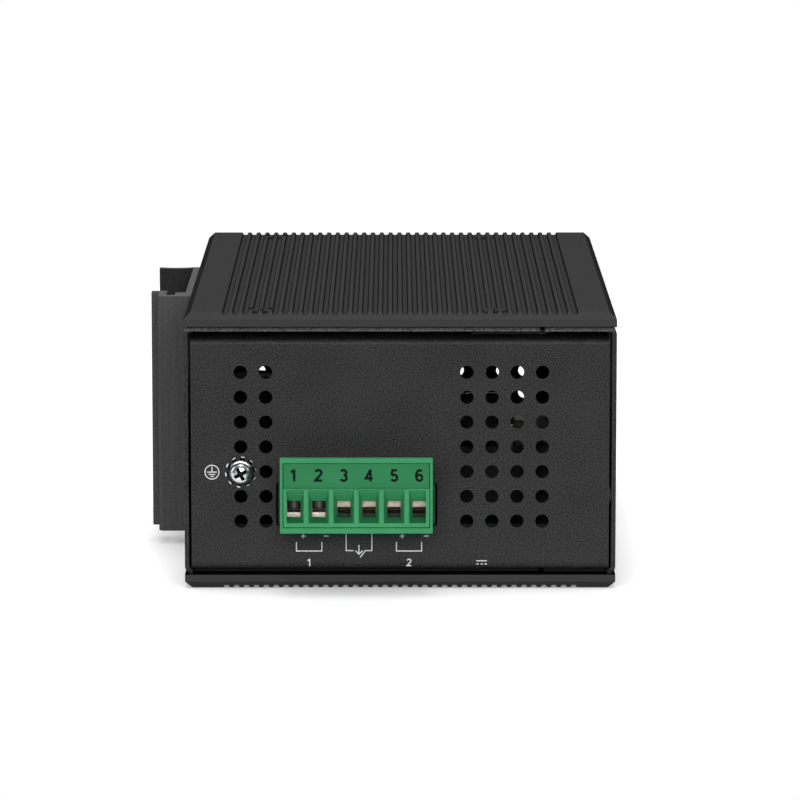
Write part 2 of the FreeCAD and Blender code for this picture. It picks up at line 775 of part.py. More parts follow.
def earth_spring_washer():
    """Spring washer between the toothed washer and the head, split at one side."""
    front_y = -panel_face_y - earth_washer_thickness - earth_spring_thickness
    face = (earth_x, front_y, earth_z)
    ring = rod(earth_spring_diameter, earth_spring_thickness, face, (0, 1, 0))
    ring = ring.cut(rod(screw_hole_diameter, earth_spring_thickness, face, (0, 1, 0)))
    half_split = earth_spring_split / 2
    split = box((earth_x, front_y, earth_z - half_split),
                (earth_x + earth_spring_diameter, front_y + earth_spring_thickness, earth_z + half_split))
    return ring.cut(split)


def earth_screw():
    """Pan-head earth screw through the washers, the panel and its nut."""
    seat_y = -panel_face_y - earth_washer_thickness - earth_spring_thickness
    crown_y = seat_y - earth_head_height
    head = rod(earth_head_diameter, earth_head_height, (earth_x, crown_y, earth_z), (0, 1, 0))
    crown = [e for e in head.Edges if abs(e.BoundBox.YMin - crown_y) < 1e-6
             and abs(e.BoundBox.YMax - e.BoundBox.YMin) < 1e-6]
    head = head.makeChamfer(earth_crown, crown)
    arm, width = earth_recess_span / 2, earth_recess_width / 2
    for half_x, half_z in ((arm, width), (width, arm)):
        head = head.cut(box((earth_x - half_x, crown_y, earth_z - half_z),
                            (earth_x + half_x, crown_y + earth_recess_depth, earth_z + half_z)))
    shank = rod(screw_thread_diameter, earth_screw_reach + earth_washer_thickness + earth_spring_thickness,
                (earth_x, seat_y, earth_z), (0, 1, 0))
    return fuse([head, shank])


def earth_nut():
    """Hexagonal nut behind the power panel."""
    nut = hexagon(earth_nut_across_flats, earth_nut_height, (0, 0, 0))
    nut = nut.cut(rod(screw_hole_diameter, earth_nut_height, (0, 0, 0), (0, 0, 1)))
    nut.rotate(Vector(0, 0, 0), Vector(1, 0, 0), -90)
    nut.translate(Vector(earth_x, -panel_back_y, earth_z))
    return nut


def rail_clip():
    """Extruded clip: base on the rear wall, a deep hook at one end and a waved wall at the other."""
    place = section_clip(clip_z)
    seat_end = clip_seat - clip_seat_taper
    end = clip_length
    inner = clip_length - clip_end_wall
    flare_u = clip_hook_reach + clip_flare
    flare_v = clip_lip_length - clip_flare_thickness
    hook = [(0, 0), (clip_hook_reach - clip_corner, 0), (clip_hook_reach, clip_corner),
            (clip_hook_reach, flare_v), (flare_u, flare_v), (flare_u, clip_lip_length),
            (clip_lip_start, clip_lip_length), (clip_lip_start, clip_hook_wall)]
    seat = [(clip_seat, clip_hook_wall), (clip_seat, clip_seat_length - clip_seat_taper),
            (seat_end, clip_seat_length), (clip_base, clip_seat_length), (clip_base, inner)]
    points = hook + seat
    corners = [place(Vector(u, v, 0)) for u, v in points]
    edges = [Part.LineSegment(a, b).toShape() for a, b in zip(corners, corners[1:])]
    tip_inner, tip_outer = (clip_end_reach, inner), (clip_end_reach, end)
    wave_u = (clip_base + clip_end_reach) / 2

    def wave(start, stop, shift):
        crest = (wave_u, (start[1] + stop[1]) / 2 - shift)
        return Part.Arc(*[place(Vector(u, v, 0)) for u, v in (start, crest, stop)]).toShape()
    edges.append(wave(points[-1], tip_inner, clip_end_wave))
    edges.append(Part.LineSegment(place(Vector(*tip_inner, 0)), place(Vector(*tip_outer, 0))).toShape())
    edges.append(wave(tip_outer, (clip_base, end), clip_end_wave))
    edges.append(Part.LineSegment(place(Vector(clip_base, end, 0)), place(Vector(0, end, 0))).toShape())
    edges.append(Part.LineSegment(place(Vector(0, end, 0)), place(Vector(0, 0, 0))).toShape())
    clip = Part.Face(Part.Wire(edges)).extrude(Vector(0, 0, clip_width))
    for y, z in clip_screw_places():
        clip = clip.cut(rod(screw_hole_diameter, clip_base, (clip_x - clip_base, y, z), (1, 0, 0)))
    return clip


def clip_screws():
    """Two screws through the spring, the clip's base and the rear wall."""
    solids = []
    head_x = clip_x - clip_base - spring_thickness
    reach = spring_thickness + clip_base + sheet + clip_nut_height
    for y, z in clip_screw_places():
        head = rod(screw_head_diameter, cover_head_height, (head_x, y, z), (-1, 0, 0))
        shank = rod(screw_thread_diameter, reach, (head_x, y, z), (1, 0, 0))
        solids.append(fuse([head, shank]))
    return group(solids)


def clip_nuts():
    """Pressed nuts inside the rear wall for the clip's screws."""
    solids = []
    nut_diameter = screw_head_diameter + screw_thread_diameter / 2
    for y, z in clip_screw_places():
        nut = rod(nut_diameter, clip_nut_height, (-wall_x, y, z), (1, 0, 0))
        solids.append(nut.cut(rod(screw_hole_diameter, clip_nut_height, (-wall_x, y, z), (1, 0, 0))))
    return group(solids)


def rail_spring():
    """Leaf spring on the clip's base: a loop whose nose snaps under the rail's lower flange."""
    flat_u = clip_base + spring_thickness / 2
    start_v = clip_screw_offset - screw_head_diameter
    rail_end_v = clip_hook_wall + rail_height
    loop_v = clip_length - clip_end_wall - clip_end_wave - spring_thickness * 2
    nose_u = clip_seat + rail_flange + spring_nose_grip + spring_thickness / 2
    nose_v = rail_end_v - spring_nose_grip
    path = [(flat_u, start_v), (flat_u, loop_v), (nose_u - spring_lean, loop_v),
            (nose_u, nose_v + spring_thickness), (clip_end_reach, nose_v + spring_flare)]
    place = section_clip(middle_z - spring_width / 2)
    leaf = ribbon(path, spring_thickness, spring_bend, place, (0, 0, spring_width))
    face_x = clip_x - clip_base - spring_thickness
    for y, z in clip_screw_places():
        leaf = leaf.cut(rod(screw_hole_diameter, spring_thickness, (face_x, y, z), (1, 0, 0)))
    return leaf


def jack_shield_can():
    """Metal shield of the copper port, open at its mouth and underneath at the board."""
    front_x = half_depth + jack_proud
    half_width = jack_width / 2
    inner_half = half_width - jack_shield
    can = box((front_x - jack_depth, jack_y - half_width, board_z),
              (front_x, jack_y + half_width, board_z + jack_height))
    return can.cut(box((front_x - jack_depth + jack_shield, jack_y - inner_half, board_z),
                       (front_x, jack_y + inner_half, board_z + jack_height - jack_shield)))


def jack_body():
    """Moulded socket inside the shield, with the plug's mouth and its latch notch."""
    front_x = half_depth + jack_proud
    body = box((front_x - jack_depth + jack_shield, jack_y - jack_width / 2 + jack_shield, board_z),
               (front_x, jack_y + jack_width / 2 - jack_shield, board_z + jack_height - jack_shield))
    mouth_z = board_z + jack_mouth_floor + jack_latch_height
    mouth = box((front_x - jack_mouth_depth, jack_y - jack_mouth_width / 2, mouth_z),
                (front_x, jack_y + jack_mouth_width / 2, mouth_z + jack_mouth_height))
    latch = box((front_x - jack_mouth_depth, jack_y - jack_latch_width / 2, mouth_z - jack_latch_height),
                (front_x, jack_y + jack_latch_width / 2, mouth_z))
    return body.cut(mouth).cut(latch)


def jack_contacts():
    """Eight contact wires that slope down into the copper port's mouth."""
    front_x = half_depth + jack_proud
    roof_z = board_z + jack_mouth_floor + jack_latch_height + jack_mouth_height
    solids = []
    for i in range(jack_contact_count):
        y = jack_y + (i - (jack_contact_count - 1) / 2) * jack_contact_pitch - jack_contact_size / 2
        path = [(front_x - jack_contact_start, roof_z - jack_contact_size / 2),
                (front_x - jack_contact_bend, roof_z - jack_contact_size / 2),
                (front_x - jack_mouth_depth + jack_contact_size, roof_z - jack_contact_drop)]
        wire_run = (0, jack_contact_size, 0)
        solids.append(ribbon(path, jack_contact_size, 2 * jack_contact_size, section_xz(y), wire_run))
    return group(solids)


def fibre_cage():
    """Transceiver cage: a sheet tunnel with a sprung collar round its mouth."""
    front_x = half_depth + fibre_proud
    low, high = fibre_y - fibre_width / 2, fibre_y + fibre_width / 2
    tube = box((front_x - fibre_depth, low, board_z), (front_x, high, board_z + fibre_height))
    collar = box((front_x - fibre_collar_length, low - fibre_collar, board_z),
                 (front_x - fibre_proud, high + fibre_collar, board_z + fibre_height + fibre_collar))
    hollow = box((front_x - fibre_depth + fibre_wall, low + fibre_wall, board_z + fibre_wall),
                 (front_x, high - fibre_wall, board_z + fibre_height - fibre_wall))
    return fuse([tube, collar]).cut(hollow)


def fibre_connector():
    """Board connector at the back of the cage that the transceiver's edge plugs into."""
    back_x = half_depth + fibre_proud - fibre_depth + fibre_wall
    front_x = back_x + fibre_connector_depth
    low_z = board_z + fibre_wall
    slot_mid_z = low_z + fibre_connector_height / 2
    half_width = fibre_connector_width / 2
    half_slot = half_width - fibre_connector_lift
    block = box((back_x, fibre_y - half_width, low_z),
                (front_x, fibre_y + half_width, low_z + fibre_connector_height))
    half_lift = fibre_connector_lift / 2
    slot = box((back_x + fibre_connector_depth / 2, fibre_y - half_slot, slot_mid_z - half_lift),
               (front_x, fibre_y + half_slot, slot_mid_z + half_lift))
    return block.cut(slot)


def light_pipes():
    """Clear pipes from the board's indicators to the front wall."""
    solids = []
    foot_x = half_depth - light_pipe_run
    radius = light_pipe_diameter / 2
    for y, z in light_pipe_places():
        bar = rod(light_pipe_diameter, light_pipe_run, (foot_x, y, z), (1, 0, 0))
        foot = box((foot_x - radius, y - radius, board_z), (foot_x + radius, y + radius, z + radius))
        solids.append(fuse([foot, bar]))
    return group(solids)


def capacitors():
    """Electrolytic capacitors standing on the board, two tall and one small."""
    cans = [(tall_capacitor, (tall_capacitor_x, y - half_height)) for y in tall_capacitors_from_end]
    cans.append((small_capacitor, small_capacitor_place))
    return group([rod(diameter, height, (*place, board_z), (0, 0, 1)) for (diameter, height), place in cans])


def centred_block(place, size, base_z):
    """A block standing on a height, centred on a place."""
    return box((place[0] - size[0] / 2, place[1] - size[1] / 2, base_z),
               (place[0] + size[0] / 2, place[1] + size[1] / 2, base_z + size[2]))


def transformer():
    """Power transformer: a wound bobbin inside a ferrite core frame."""
    length, width, height = transformer_size
    frame = centred_block(transformer_place, transformer_size, board_z)
    gap = (length - 2 * transformer_core, height - 2 * transformer_yoke)
    low_z = board_z + transformer_yoke
    window = centred_block(transformer_place, (gap[0], width, gap[1]), low_z)
    winding = centred_block(transformer_place, (gap[0], transformer_winding, gap[1]), low_z)
    return fuse([frame.cut(window), winding])


def inductors():
    """Shielded power inductors with rounded corners."""
    solids = []
    for place in inductor_places:
        block = centred_block(place, inductor_size, board_z)
        solids.append(block.makeFillet(inductor_corner, edges_along(block, (0, 0, 1))))
    return group(solids)


def alarm_relay():
    """Relay that opens and closes the fault contact on the terminal."""
    return centred_block(relay_place, relay_size, board_z)


def controller_chip():
    """Converter chip on the board."""
    return centred_block(chip_place, chip_size, board_z)


def chip_heat_sink():
    """Finned heat sink on the converter chip."""
    base_z = board_z + chip_size[2]
    length, width, height = heat_sink_size
    block = centred_block(chip_place, heat_sink_size, base_z)
    gap = (width - heat_sink_fins * heat_sink_fin) / (heat_sink_fins - 1)
    cuts = []
    for i in range(heat_sink_fins - 1):
        low_y = chip_place[1] - width / 2 + heat_sink_fin + i * (heat_sink_fin + gap)
        cuts.append(box((chip_place[0] - length / 2, low_y, base_z + heat_sink_base),
                        (chip_place[0] + length / 2, low_y + gap, base_z + height)))
    return block.cut(group(cuts))


def all_parts():
    """Every node's name and shape."""
    parts = {
        "lower_cover": finned_cover(),
        "upper_cover": other_side(finned_cover()),
        "lower_cover_screws": cover_screws(),
        "upper_cover_screws": other_side(cover_screws()),
        "chassis": chassis(),
        "front_panel": front_panel(),
        "power_panel": power_panel(),
        "lower_panel": lower_panel(),
        "main_board": main_board(),
        "board_standoffs": board_standoffs(),
        "board_screws": board_screws(),
        "terminal_header": terminal_header(),
        "header_pins": header_pins(),
        "plug_housing": plug_housing(),
        "wire_guide": wire_guide(),
        "plug_contacts": plug_contacts(),
        "earth_washer": earth_washer(),
        "earth_spring_washer": earth_spring_washer(),
        "earth_screw": earth_screw(),
        "earth_nut": earth_nut(),
        "rail_clip": rail_clip(),
        "rail_spring": rail_spring(),
        "clip_screws": clip_screws(),
        "clip_nuts": clip_nuts(),
        "jack_shield": jack_shield_can(),
        "jack_body": jack_body(),
        "jack_contacts": jack_contacts(),
        "fibre_cage": fibre_cage(),
        "fibre_connector": fibre_connector(),
        "light_pipes": light_pipes(),
        "capacitors": capacitors(),
        "transformer": transformer(),
        "inductors": inductors(),
        "alarm_relay": alarm_relay(),
        "controller_chip": controller_chip(),
        "chip_heat_sink": chip_heat_sink(),
    }
    for pole in range(pole_count):
        parts["clamp_cage_%d" % (pole + 1)] = clamp_cage(pole)
        parts["clamp_screw_%d" % (pole + 1)] = clamp_screw(pole)
    return parts


def main():
    os.makedirs("parts", exist_ok=True)
    for name, shape in all_parts().items():
        if not shape.isValid() or shape.Volume <= 0:
            raise ValueError("node %s isn't a valid solid" % name)
        shape.exportStep("parts/%s.step" % name)


main()
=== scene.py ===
import itertools
import math

import bmesh
import bpy
from mathutils import Matrix, Vector


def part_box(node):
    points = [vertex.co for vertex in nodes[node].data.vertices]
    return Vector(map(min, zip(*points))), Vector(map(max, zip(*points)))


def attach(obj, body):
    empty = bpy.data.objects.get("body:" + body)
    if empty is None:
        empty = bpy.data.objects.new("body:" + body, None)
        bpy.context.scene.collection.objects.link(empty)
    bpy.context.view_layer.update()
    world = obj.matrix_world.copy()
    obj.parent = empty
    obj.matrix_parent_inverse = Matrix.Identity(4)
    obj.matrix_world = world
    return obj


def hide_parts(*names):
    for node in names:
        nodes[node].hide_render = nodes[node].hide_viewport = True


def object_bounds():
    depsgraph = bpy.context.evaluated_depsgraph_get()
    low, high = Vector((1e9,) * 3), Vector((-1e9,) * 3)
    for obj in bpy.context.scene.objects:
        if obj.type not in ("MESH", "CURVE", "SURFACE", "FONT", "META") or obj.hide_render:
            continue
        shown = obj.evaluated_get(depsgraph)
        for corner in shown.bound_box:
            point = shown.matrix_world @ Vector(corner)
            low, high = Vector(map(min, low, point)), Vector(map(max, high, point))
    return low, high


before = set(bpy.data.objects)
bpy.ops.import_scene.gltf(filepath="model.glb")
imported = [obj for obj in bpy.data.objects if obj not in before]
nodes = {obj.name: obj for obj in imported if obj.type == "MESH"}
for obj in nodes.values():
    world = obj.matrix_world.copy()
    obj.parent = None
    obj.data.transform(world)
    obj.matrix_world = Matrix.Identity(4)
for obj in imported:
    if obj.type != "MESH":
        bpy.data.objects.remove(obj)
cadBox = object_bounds()
mm = 0.001  # the frame is in metres, the settings below are in millimetres
poles = range(1, 7)
cages = [f"clamp_cage_{i}" for i in poles]
clampScrews = [f"clamp_screw_{i}" for i in poles]
sharpAngle = math.radians(35)  # an edge that turns further than this is seen as an edge
weldGap = 1e-6  # points this close, in metres, are one point
white = (1, 1, 1, 1)
print("frame loaded:", len(nodes), "nodes")


def toLinear(hexColour):
    channels = [int(hexColour[i:i + 2], 16) / 255 for i in (1, 3, 5)]
    return [c / 12.92 if c <= 0.04045 else ((c + 0.055) / 1.055) ** 2.4 for c in channels] + [1]


def scaled(colour, factor):
    return [c * factor for c in colour[:3]] + [1]  # lighter or darker, alpha kept


def addNode(tree, kind, settings=None, links=None):
    node = tree.nodes.new(kind)
    for key, value in (settings or {}).items():
        if isinstance(key, int) or key in node.inputs:
            node.inputs[key].default_value = value
        elif key == "ramp":
            for stop, (position, colour) in zip(node.color_ramp.elements, value):
                stop.position, stop.color = position, colour
        else:
            setattr(node, key, value)
    for key, source in (links or {}).items():
        tree.links.new(source, node.inputs[key])
    return node


def newMaterial(name, sockets):
    material = bpy.data.materials.new(name)
    material.use_nodes = True
    tree = material.node_tree
    shader = tree.nodes["Principled BSDF"]
    for key, value in sockets.items():
        shader.inputs[key].default_value = value
    place = addNode(tree, "ShaderNodeTexCoord").outputs["Object"]
    return material, tree, shader, place


def perMetre(sizeMm):
    return 1 / (sizeMm * mm)  # texture scale that gives features of this size


multiply = {"data_type": "RGBA", "blend_type": "MULTIPLY"}  # a Mix node that multiplies two colours


# Steel sheet, powder coated with a sand finish: small rounded grains that each catch the light.
# On the flanges' cut ends the upper edge has a painted highlight, darkened at its top, and the lower edge is
# painted black as shade in its joint.
def sandedPowderCoat():
    look = {"dark": "#0d0d0d", "light": "#353535", "roughness": 0.5, "specular": 0.2,
            "grain": 0.32, "cloud": 11.0, "cloudShare": 0.12, "height": 0.03, "bump": 0.9,
            "sheet": 0.9, "square": 0.5, "paintedHemLight": 4.2, "paintedHemShade": 0.2, "paintedSeamShade": 0.02}
    # The real grain is near 0.2 mm. It is drawn somewhat coarser, so that it shows.
    material, tree, shader, place = newMaterial(
        "sandedPowderCoat", {"Roughness": look["roughness"], "Specular IOR Level": look["specular"]})
    grain = addNode(tree, "ShaderNodeTexNoise",
                    {"Scale": perMetre(look["grain"]), "Detail": 2.0, "Roughness": 0.55}, {"Vector": place})
    cloud = addNode(tree, "ShaderNodeTexNoise",
                    {"Scale": perMetre(look["cloud"]), "Detail": 1.0}, {"Vector": place})
    both = addNode(tree, "ShaderNodeMix", {"Factor": look["cloudShare"]},
                   {"A": grain.outputs["Fac"], "B": cloud.outputs["Fac"]})
    ramp = [(0.38, toLinear(look["dark"])), (0.62, toLinear(look["light"]))]
    shade = addNode(tree, "ShaderNodeValToRGB", {"ramp": ramp},
                    {"Fac": both.outputs["Result"]}).outputs["Color"]
    low, high = [corner.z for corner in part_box("chassis")]
    lowHem, highHem = low + look["sheet"] * mm, high - look["sheet"] * mm
    rise = addNode(tree, "ShaderNodeSeparateXYZ", None, {"Vector": place}).outputs["Z"]
    normal = addNode(tree, "ShaderNodeNewGeometry").outputs["True Normal"]
    facing = addNode(tree, "ShaderNodeSeparateXYZ", None, {"Vector": normal}).outputs["Y"]
    along = addNode(tree, "ShaderNodeMath", {"operation": "ABSOLUTE"}, {0: facing})
    cutEnd = addNode(tree, "ShaderNodeMath", {"operation": "GREATER_THAN", 1: look["square"]},
                     {0: along.outputs["Value"]})
    # Painted highlight on the upper flange end, fading to painted shade at its top; the lower end is painted
    # shade.
    paintedHem = addNode(tree, "ShaderNodeMapRange",
                  {"From Min": highHem, "From Max": high, "To Min": look["paintedHemLight"], "To Max": look["paintedHemShade"]},
                  {"Value": rise})
    flanges = (("GREATER_THAN", highHem, {"B": paintedHem.outputs["Result"]}), ("LESS_THAN", lowHem, {}))
    for side, limit, hemPaint in flanges:
        beyond = addNode(tree, "ShaderNodeMath", {"operation": side, 1: limit}, {0: rise})
        edge = addNode(tree, "ShaderNodeMath", {"operation": "MULTIPLY"},
                       {0: beyond.outputs["Value"], 1: cutEnd.outputs["Value"]})
        shade = addNode(tree, "ShaderNodeMix", {**multiply, "B": scaled(white, look["paintedSeamShade"])},
                        {"Factor": edge.outputs["Value"], "A": shade, **hemPaint}).outputs["Result"]
    bump = addNode(tree, "ShaderNodeBump", {"Strength": look["bump"], "Distance": look["height"] * mm},
                   {"Height": grain.outputs["Fac"]})
    tree.links.new(shade, shader.inputs["Base Color"])
    tree.links.new(bump.outputs["Normal"], shader.inputs["Normal"])
    return material


# Extruded aluminium, blasted and coated black: even and matt, with faint die lines along the profile.
# Painted shade makes it darker on the inside of the jaw beyond a given Y, and on faces that slope to X, such
# as the sides of grooves and the side chamfers. Faces between the two inner heights are painted dull black as
# shade.
# Black oxide on steel screws is as matt, only deeper, so it is made here too.
def coatedExtrusion(name, tone, along, roughness, specular, contrast, jaw=None, paintedWallShade=None, inner=None):
    look = {"line": 0.35, "stretch": 0.02, "grit": 0.5, "gritShare": 0.55, "height": 0.012, "bump": 0.5,
            "inward": -0.5, "paintedJawShade": 0.28, "slope": 0.8, "slopeSpan": 0.16, "paintedInnerShade": 0.06}
    # Grit and lines are drawn coarser than the real tenth of a millimetre, so that they show.
    material, tree, shader, place = newMaterial(
        name, {"Roughness": roughness, "Specular IOR Level": specular})
    drawn = addNode(tree, "ShaderNodeMapping",
                    {"Scale": [look["stretch"] if axis == along else 1 for axis in "XYZ"]}, {"Vector": place})
    lines = addNode(tree, "ShaderNodeTexNoise", {"Scale": perMetre(look["line"]), "Detail": 2.0},
                    {"Vector": drawn.outputs["Vector"]})
    grit = addNode(tree, "ShaderNodeTexNoise",
                   {"Scale": perMetre(look["grit"]), "Detail": 2.0}, {"Vector": place})
    both = addNode(tree, "ShaderNodeMix", {"Factor": look["gritShare"]},
                   {"A": lines.outputs["Fac"], "B": grit.outputs["Fac"]})
    base = toLinear(tone)
    ramp = [(0.35, scaled(base, 1 - contrast)), (0.65, scaled(base, 1 + contrast))]
    shade = addNode(tree, "ShaderNodeValToRGB", {"ramp": ramp},
                    {"Fac": both.outputs["Result"]}).outputs["Color"]
    spot = addNode(tree, "ShaderNodeSeparateXYZ", None, {"Vector": place})
    normal = addNode(tree, "ShaderNodeNewGeometry").outputs["True Normal"]
    facing = addNode(tree, "ShaderNodeSeparateXYZ", None, {"Vector": normal})
    # Painted shade: each mask below darkens the tone where shade falls.
    paintedShades = []  # masks, and what each multiplies the tone by
    if jaw is not None:
        far = addNode(tree, "ShaderNodeMath", {"operation": "GREATER_THAN", 1: jaw}, {0: spot.outputs["Y"]})
        inward = addNode(tree, "ShaderNodeMath", {"operation": "LESS_THAN", 1: look["inward"]},
                         {0: facing.outputs["Y"]})
        inside = addNode(tree, "ShaderNodeMath", {"operation": "MULTIPLY"},
                         {0: far.outputs["Value"], 1: inward.outputs["Value"]})
        paintedShades.append((inside, look["paintedJawShade"]))
    if paintedWallShade is not None:
        sideways = addNode(tree, "ShaderNodeMath", {"operation": "ABSOLUTE"}, {0: facing.outputs["X"]})
        sloped = addNode(tree, "ShaderNodeMath",
                         {"operation": "COMPARE", 1: look["slope"], 2: look["slopeSpan"]},
                         {0: sideways.outputs["Value"]})
        paintedShades.append((sloped, paintedWallShade))
    if inner is not None:
        rise = spot.outputs["Z"]
        above = addNode(tree, "ShaderNodeMath", {"operation": "GREATER_THAN", 1: inner[0]}, {0: rise})
        below = addNode(tree, "ShaderNodeMath", {"operation": "LESS_THAN", 1: inner[1]}, {0: rise})
        within = addNode(tree, "ShaderNodeMath", {"operation": "MULTIPLY"},
                         {0: above.outputs["Value"], 1: below.outputs["Value"]})
        paintedShades.append((within, look["paintedInnerShade"]))
    for mask, level in paintedShades:
        shade = addNode(tree, "ShaderNodeMix", {**multiply, "B": scaled(white, level)},
                        {"Factor": mask.outputs["Value"], "A": shade}).outputs["Result"]
    bump = addNode(tree, "ShaderNodeBump", {"Strength": look["bump"], "Distance": look["height"] * mm},
                   {"Height": both.outputs["Result"]})
    tree.links.new(shade, shader.inputs["Base Color"])
    tree.links.new(bump.outputs["Normal"], shader.inputs["Normal"])
    return material


# Polyamide or acrylic, injection moulded in a satin tool: even, with a soft flow in the tone.
# The faces above the first shade height and the upward faces below the second are painted darker as shade,
# and so are narrow places, from occlusion. Shrink film and pressed ferrite are as even.
def mouldedPlastic(name, deep, light, roughness, specular=0.5, ior=1.53, clear=0.0,
                   shadeHeights=None, narrow=None, darkest=0.2):
    look = {"flow": 7.0, "satin": 0.3, "height": 0.006, "bump": 0.3, "field": "#9ed7cb", "floor": "#76bcaa",
            "upward": 0.4, "tight": 0.06, "open": 0.26}
    # The satin of a real tool is finer than 0.1 mm. It is drawn coarser, so that it shows.
    material, tree, shader, place = newMaterial(
        name, {"Roughness": roughness, "Specular IOR Level": specular, "IOR": ior,
               "Transmission Weight": clear})
    flow = addNode(tree, "ShaderNodeTexNoise",
                   {"Scale": perMetre(look["flow"]), "Detail": 2.0}, {"Vector": place})
    satin = addNode(tree, "ShaderNodeTexNoise",
                    {"Scale": perMetre(look["satin"]), "Detail": 1.0}, {"Vector": place})
    ramp = [(0.3, toLinear(deep)), (0.7, toLinear(light))]
    tone = addNode(tree, "ShaderNodeValToRGB", {"ramp": ramp}, {"Fac": flow.outputs["Fac"]}).outputs["Color"]
    # Painted shade on the number strip and on the upward funnel faces.
    if shadeHeights:
        rise = addNode(tree, "ShaderNodeSeparateXYZ", None, {"Vector": place}).outputs["Z"]
        normal = addNode(tree, "ShaderNodeNewGeometry").outputs["True Normal"]
        facing = addNode(tree, "ShaderNodeSeparateXYZ", None, {"Vector": normal}).outputs["Z"]
        field = addNode(tree, "ShaderNodeMath", {"operation": "GREATER_THAN", 1: shadeHeights[0]}, {0: rise})
        below = addNode(tree, "ShaderNodeMath", {"operation": "LESS_THAN", 1: shadeHeights[1]}, {0: rise})
        upward = addNode(tree, "ShaderNodeMath", {"operation": "GREATER_THAN", 1: look["upward"]},
                         {0: facing})
        paintedFloorShade = addNode(tree, "ShaderNodeMath", {"operation": "MULTIPLY"},
                         {0: upward.outputs["Value"], 1: below.outputs["Value"]})
        for mask, tint in ((field, look["field"]), (paintedFloorShade, look["floor"])):
            tone = addNode(tree, "ShaderNodeMix", {**multiply, "B": toLinear(tint)},
                           {"Factor": mask.outputs["Value"], "A": tone}).outputs["Result"]
    # Painted shade in narrow places, from occlusion.
    if narrow:
        near = addNode(tree, "ShaderNodeAmbientOcclusion", {"Distance": narrow * mm, "samples": 8})
        wide = addNode(tree, "ShaderNodeMapRange",
                       {"From Min": look["tight"], "From Max": look["open"], "To Min": darkest},
                       {"Value": near.outputs["AO"]})
        tone = addNode(tree, "ShaderNodeMix", {**multiply, "Factor": 1.0},
                       {"A": tone, "B": wide.outputs["Result"]}).outputs["Result"]
    bump = addNode(tree, "ShaderNodeBump", {"Strength": look["bump"], "Distance": look["height"] * mm},
                   {"Height": satin.outputs["Fac"]})
    tree.links.new(tone, shader.inputs["Base Color"])
    tree.links.new(bump.outputs["Normal"], shader.inputs["Normal"])
    return material


# Plated or bare metal: fine drawing lines, as deep as height says, and a slightly uneven polish.
# Flat faces along Y can be painted dark below a height, as painted shade, so that they shine only above it.
def platedMetal(name, tone, roughness, height=0.0015, paintedShadeBelow=None):
    look = {"line": 0.3, "stretch": 0.15, "bump": 0.35, "patch": 0.7, "dull": 0.72, "smooth": 0.75,
            "rough": 1.3, "flat": 0.8, "fade": 0.6, "paintedLowShade": 0.05}
    # Real lines are some hundredths of a millimetre wide. They are drawn coarser, so that they show.
    material, tree, shader, place = newMaterial(name, {"Metallic": 1.0})
    drawn = addNode(tree, "ShaderNodeMapping", {"Scale": (1, look["stretch"], look["stretch"])},
                    {"Vector": place})
    lines = addNode(tree, "ShaderNodeTexNoise", {"Scale": perMetre(look["line"]), "Detail": 2.0},
                    {"Vector": drawn.outputs["Vector"]})
    patch = addNode(tree, "ShaderNodeTexNoise",
                    {"Scale": perMetre(look["patch"]), "Detail": 2.0}, {"Vector": place})
    polish = addNode(tree, "ShaderNodeMapRange",
                     {"To Min": roughness * look["smooth"], "To Max": roughness * look["rough"]},
                     {"Value": patch.outputs["Fac"]})
    full = toLinear(tone)
    ramp = [(0.35, scaled(full, look["dull"])), (0.6, full)]
    shade = addNode(tree, "ShaderNodeValToRGB", {"ramp": ramp},
                    {"Fac": patch.outputs["Fac"]}).outputs["Color"]
    # Painted shade on flat faces below the given height.
    if paintedShadeBelow:
        normal = addNode(tree, "ShaderNodeNewGeometry").outputs["True Normal"]
        facing = addNode(tree, "ShaderNodeSeparateXYZ", None, {"Vector": normal}).outputs["Y"]
        across = addNode(tree, "ShaderNodeMath", {"operation": "ABSOLUTE"}, {0: facing})
        flat = addNode(tree, "ShaderNodeMath", {"operation": "GREATER_THAN", 1: look["flat"]},
                       {0: across.outputs["Value"]})
        rise = addNode(tree, "ShaderNodeSeparateXYZ", None, {"Vector": place}).outputs["Z"]
        paintedLowShade = addNode(tree, "ShaderNodeMapRange", {"From Min": paintedShadeBelow, "From Max": paintedShadeBelow + look["fade"] * mm,
                                                    "To Min": 1.0, "To Max": 0.0}, {"Value": rise})
        dark = addNode(tree, "ShaderNodeMath", {"operation": "MULTIPLY"},
                       {0: flat.outputs["Value"], 1: paintedLowShade.outputs["Result"]})
        shade = addNode(tree, "ShaderNodeMix", {**multiply, "B": scaled(white, look["paintedLowShade"])},
                        {"Factor": dark.outputs["Value"], "A": shade}).outputs["Result"]
    bump = addNode(tree, "ShaderNodeBump", {"Strength": look["bump"], "Distance": height * mm},
                   {"Height": lines.outputs["Fac"]})
    tree.links.new(shade, shader.inputs["Base Color"])
    tree.links.new(polish.outputs["Result"], shader.inputs["Roughness"])
    tree.links.new(bump.outputs["Normal"], shader.inputs["Normal"])
    return material


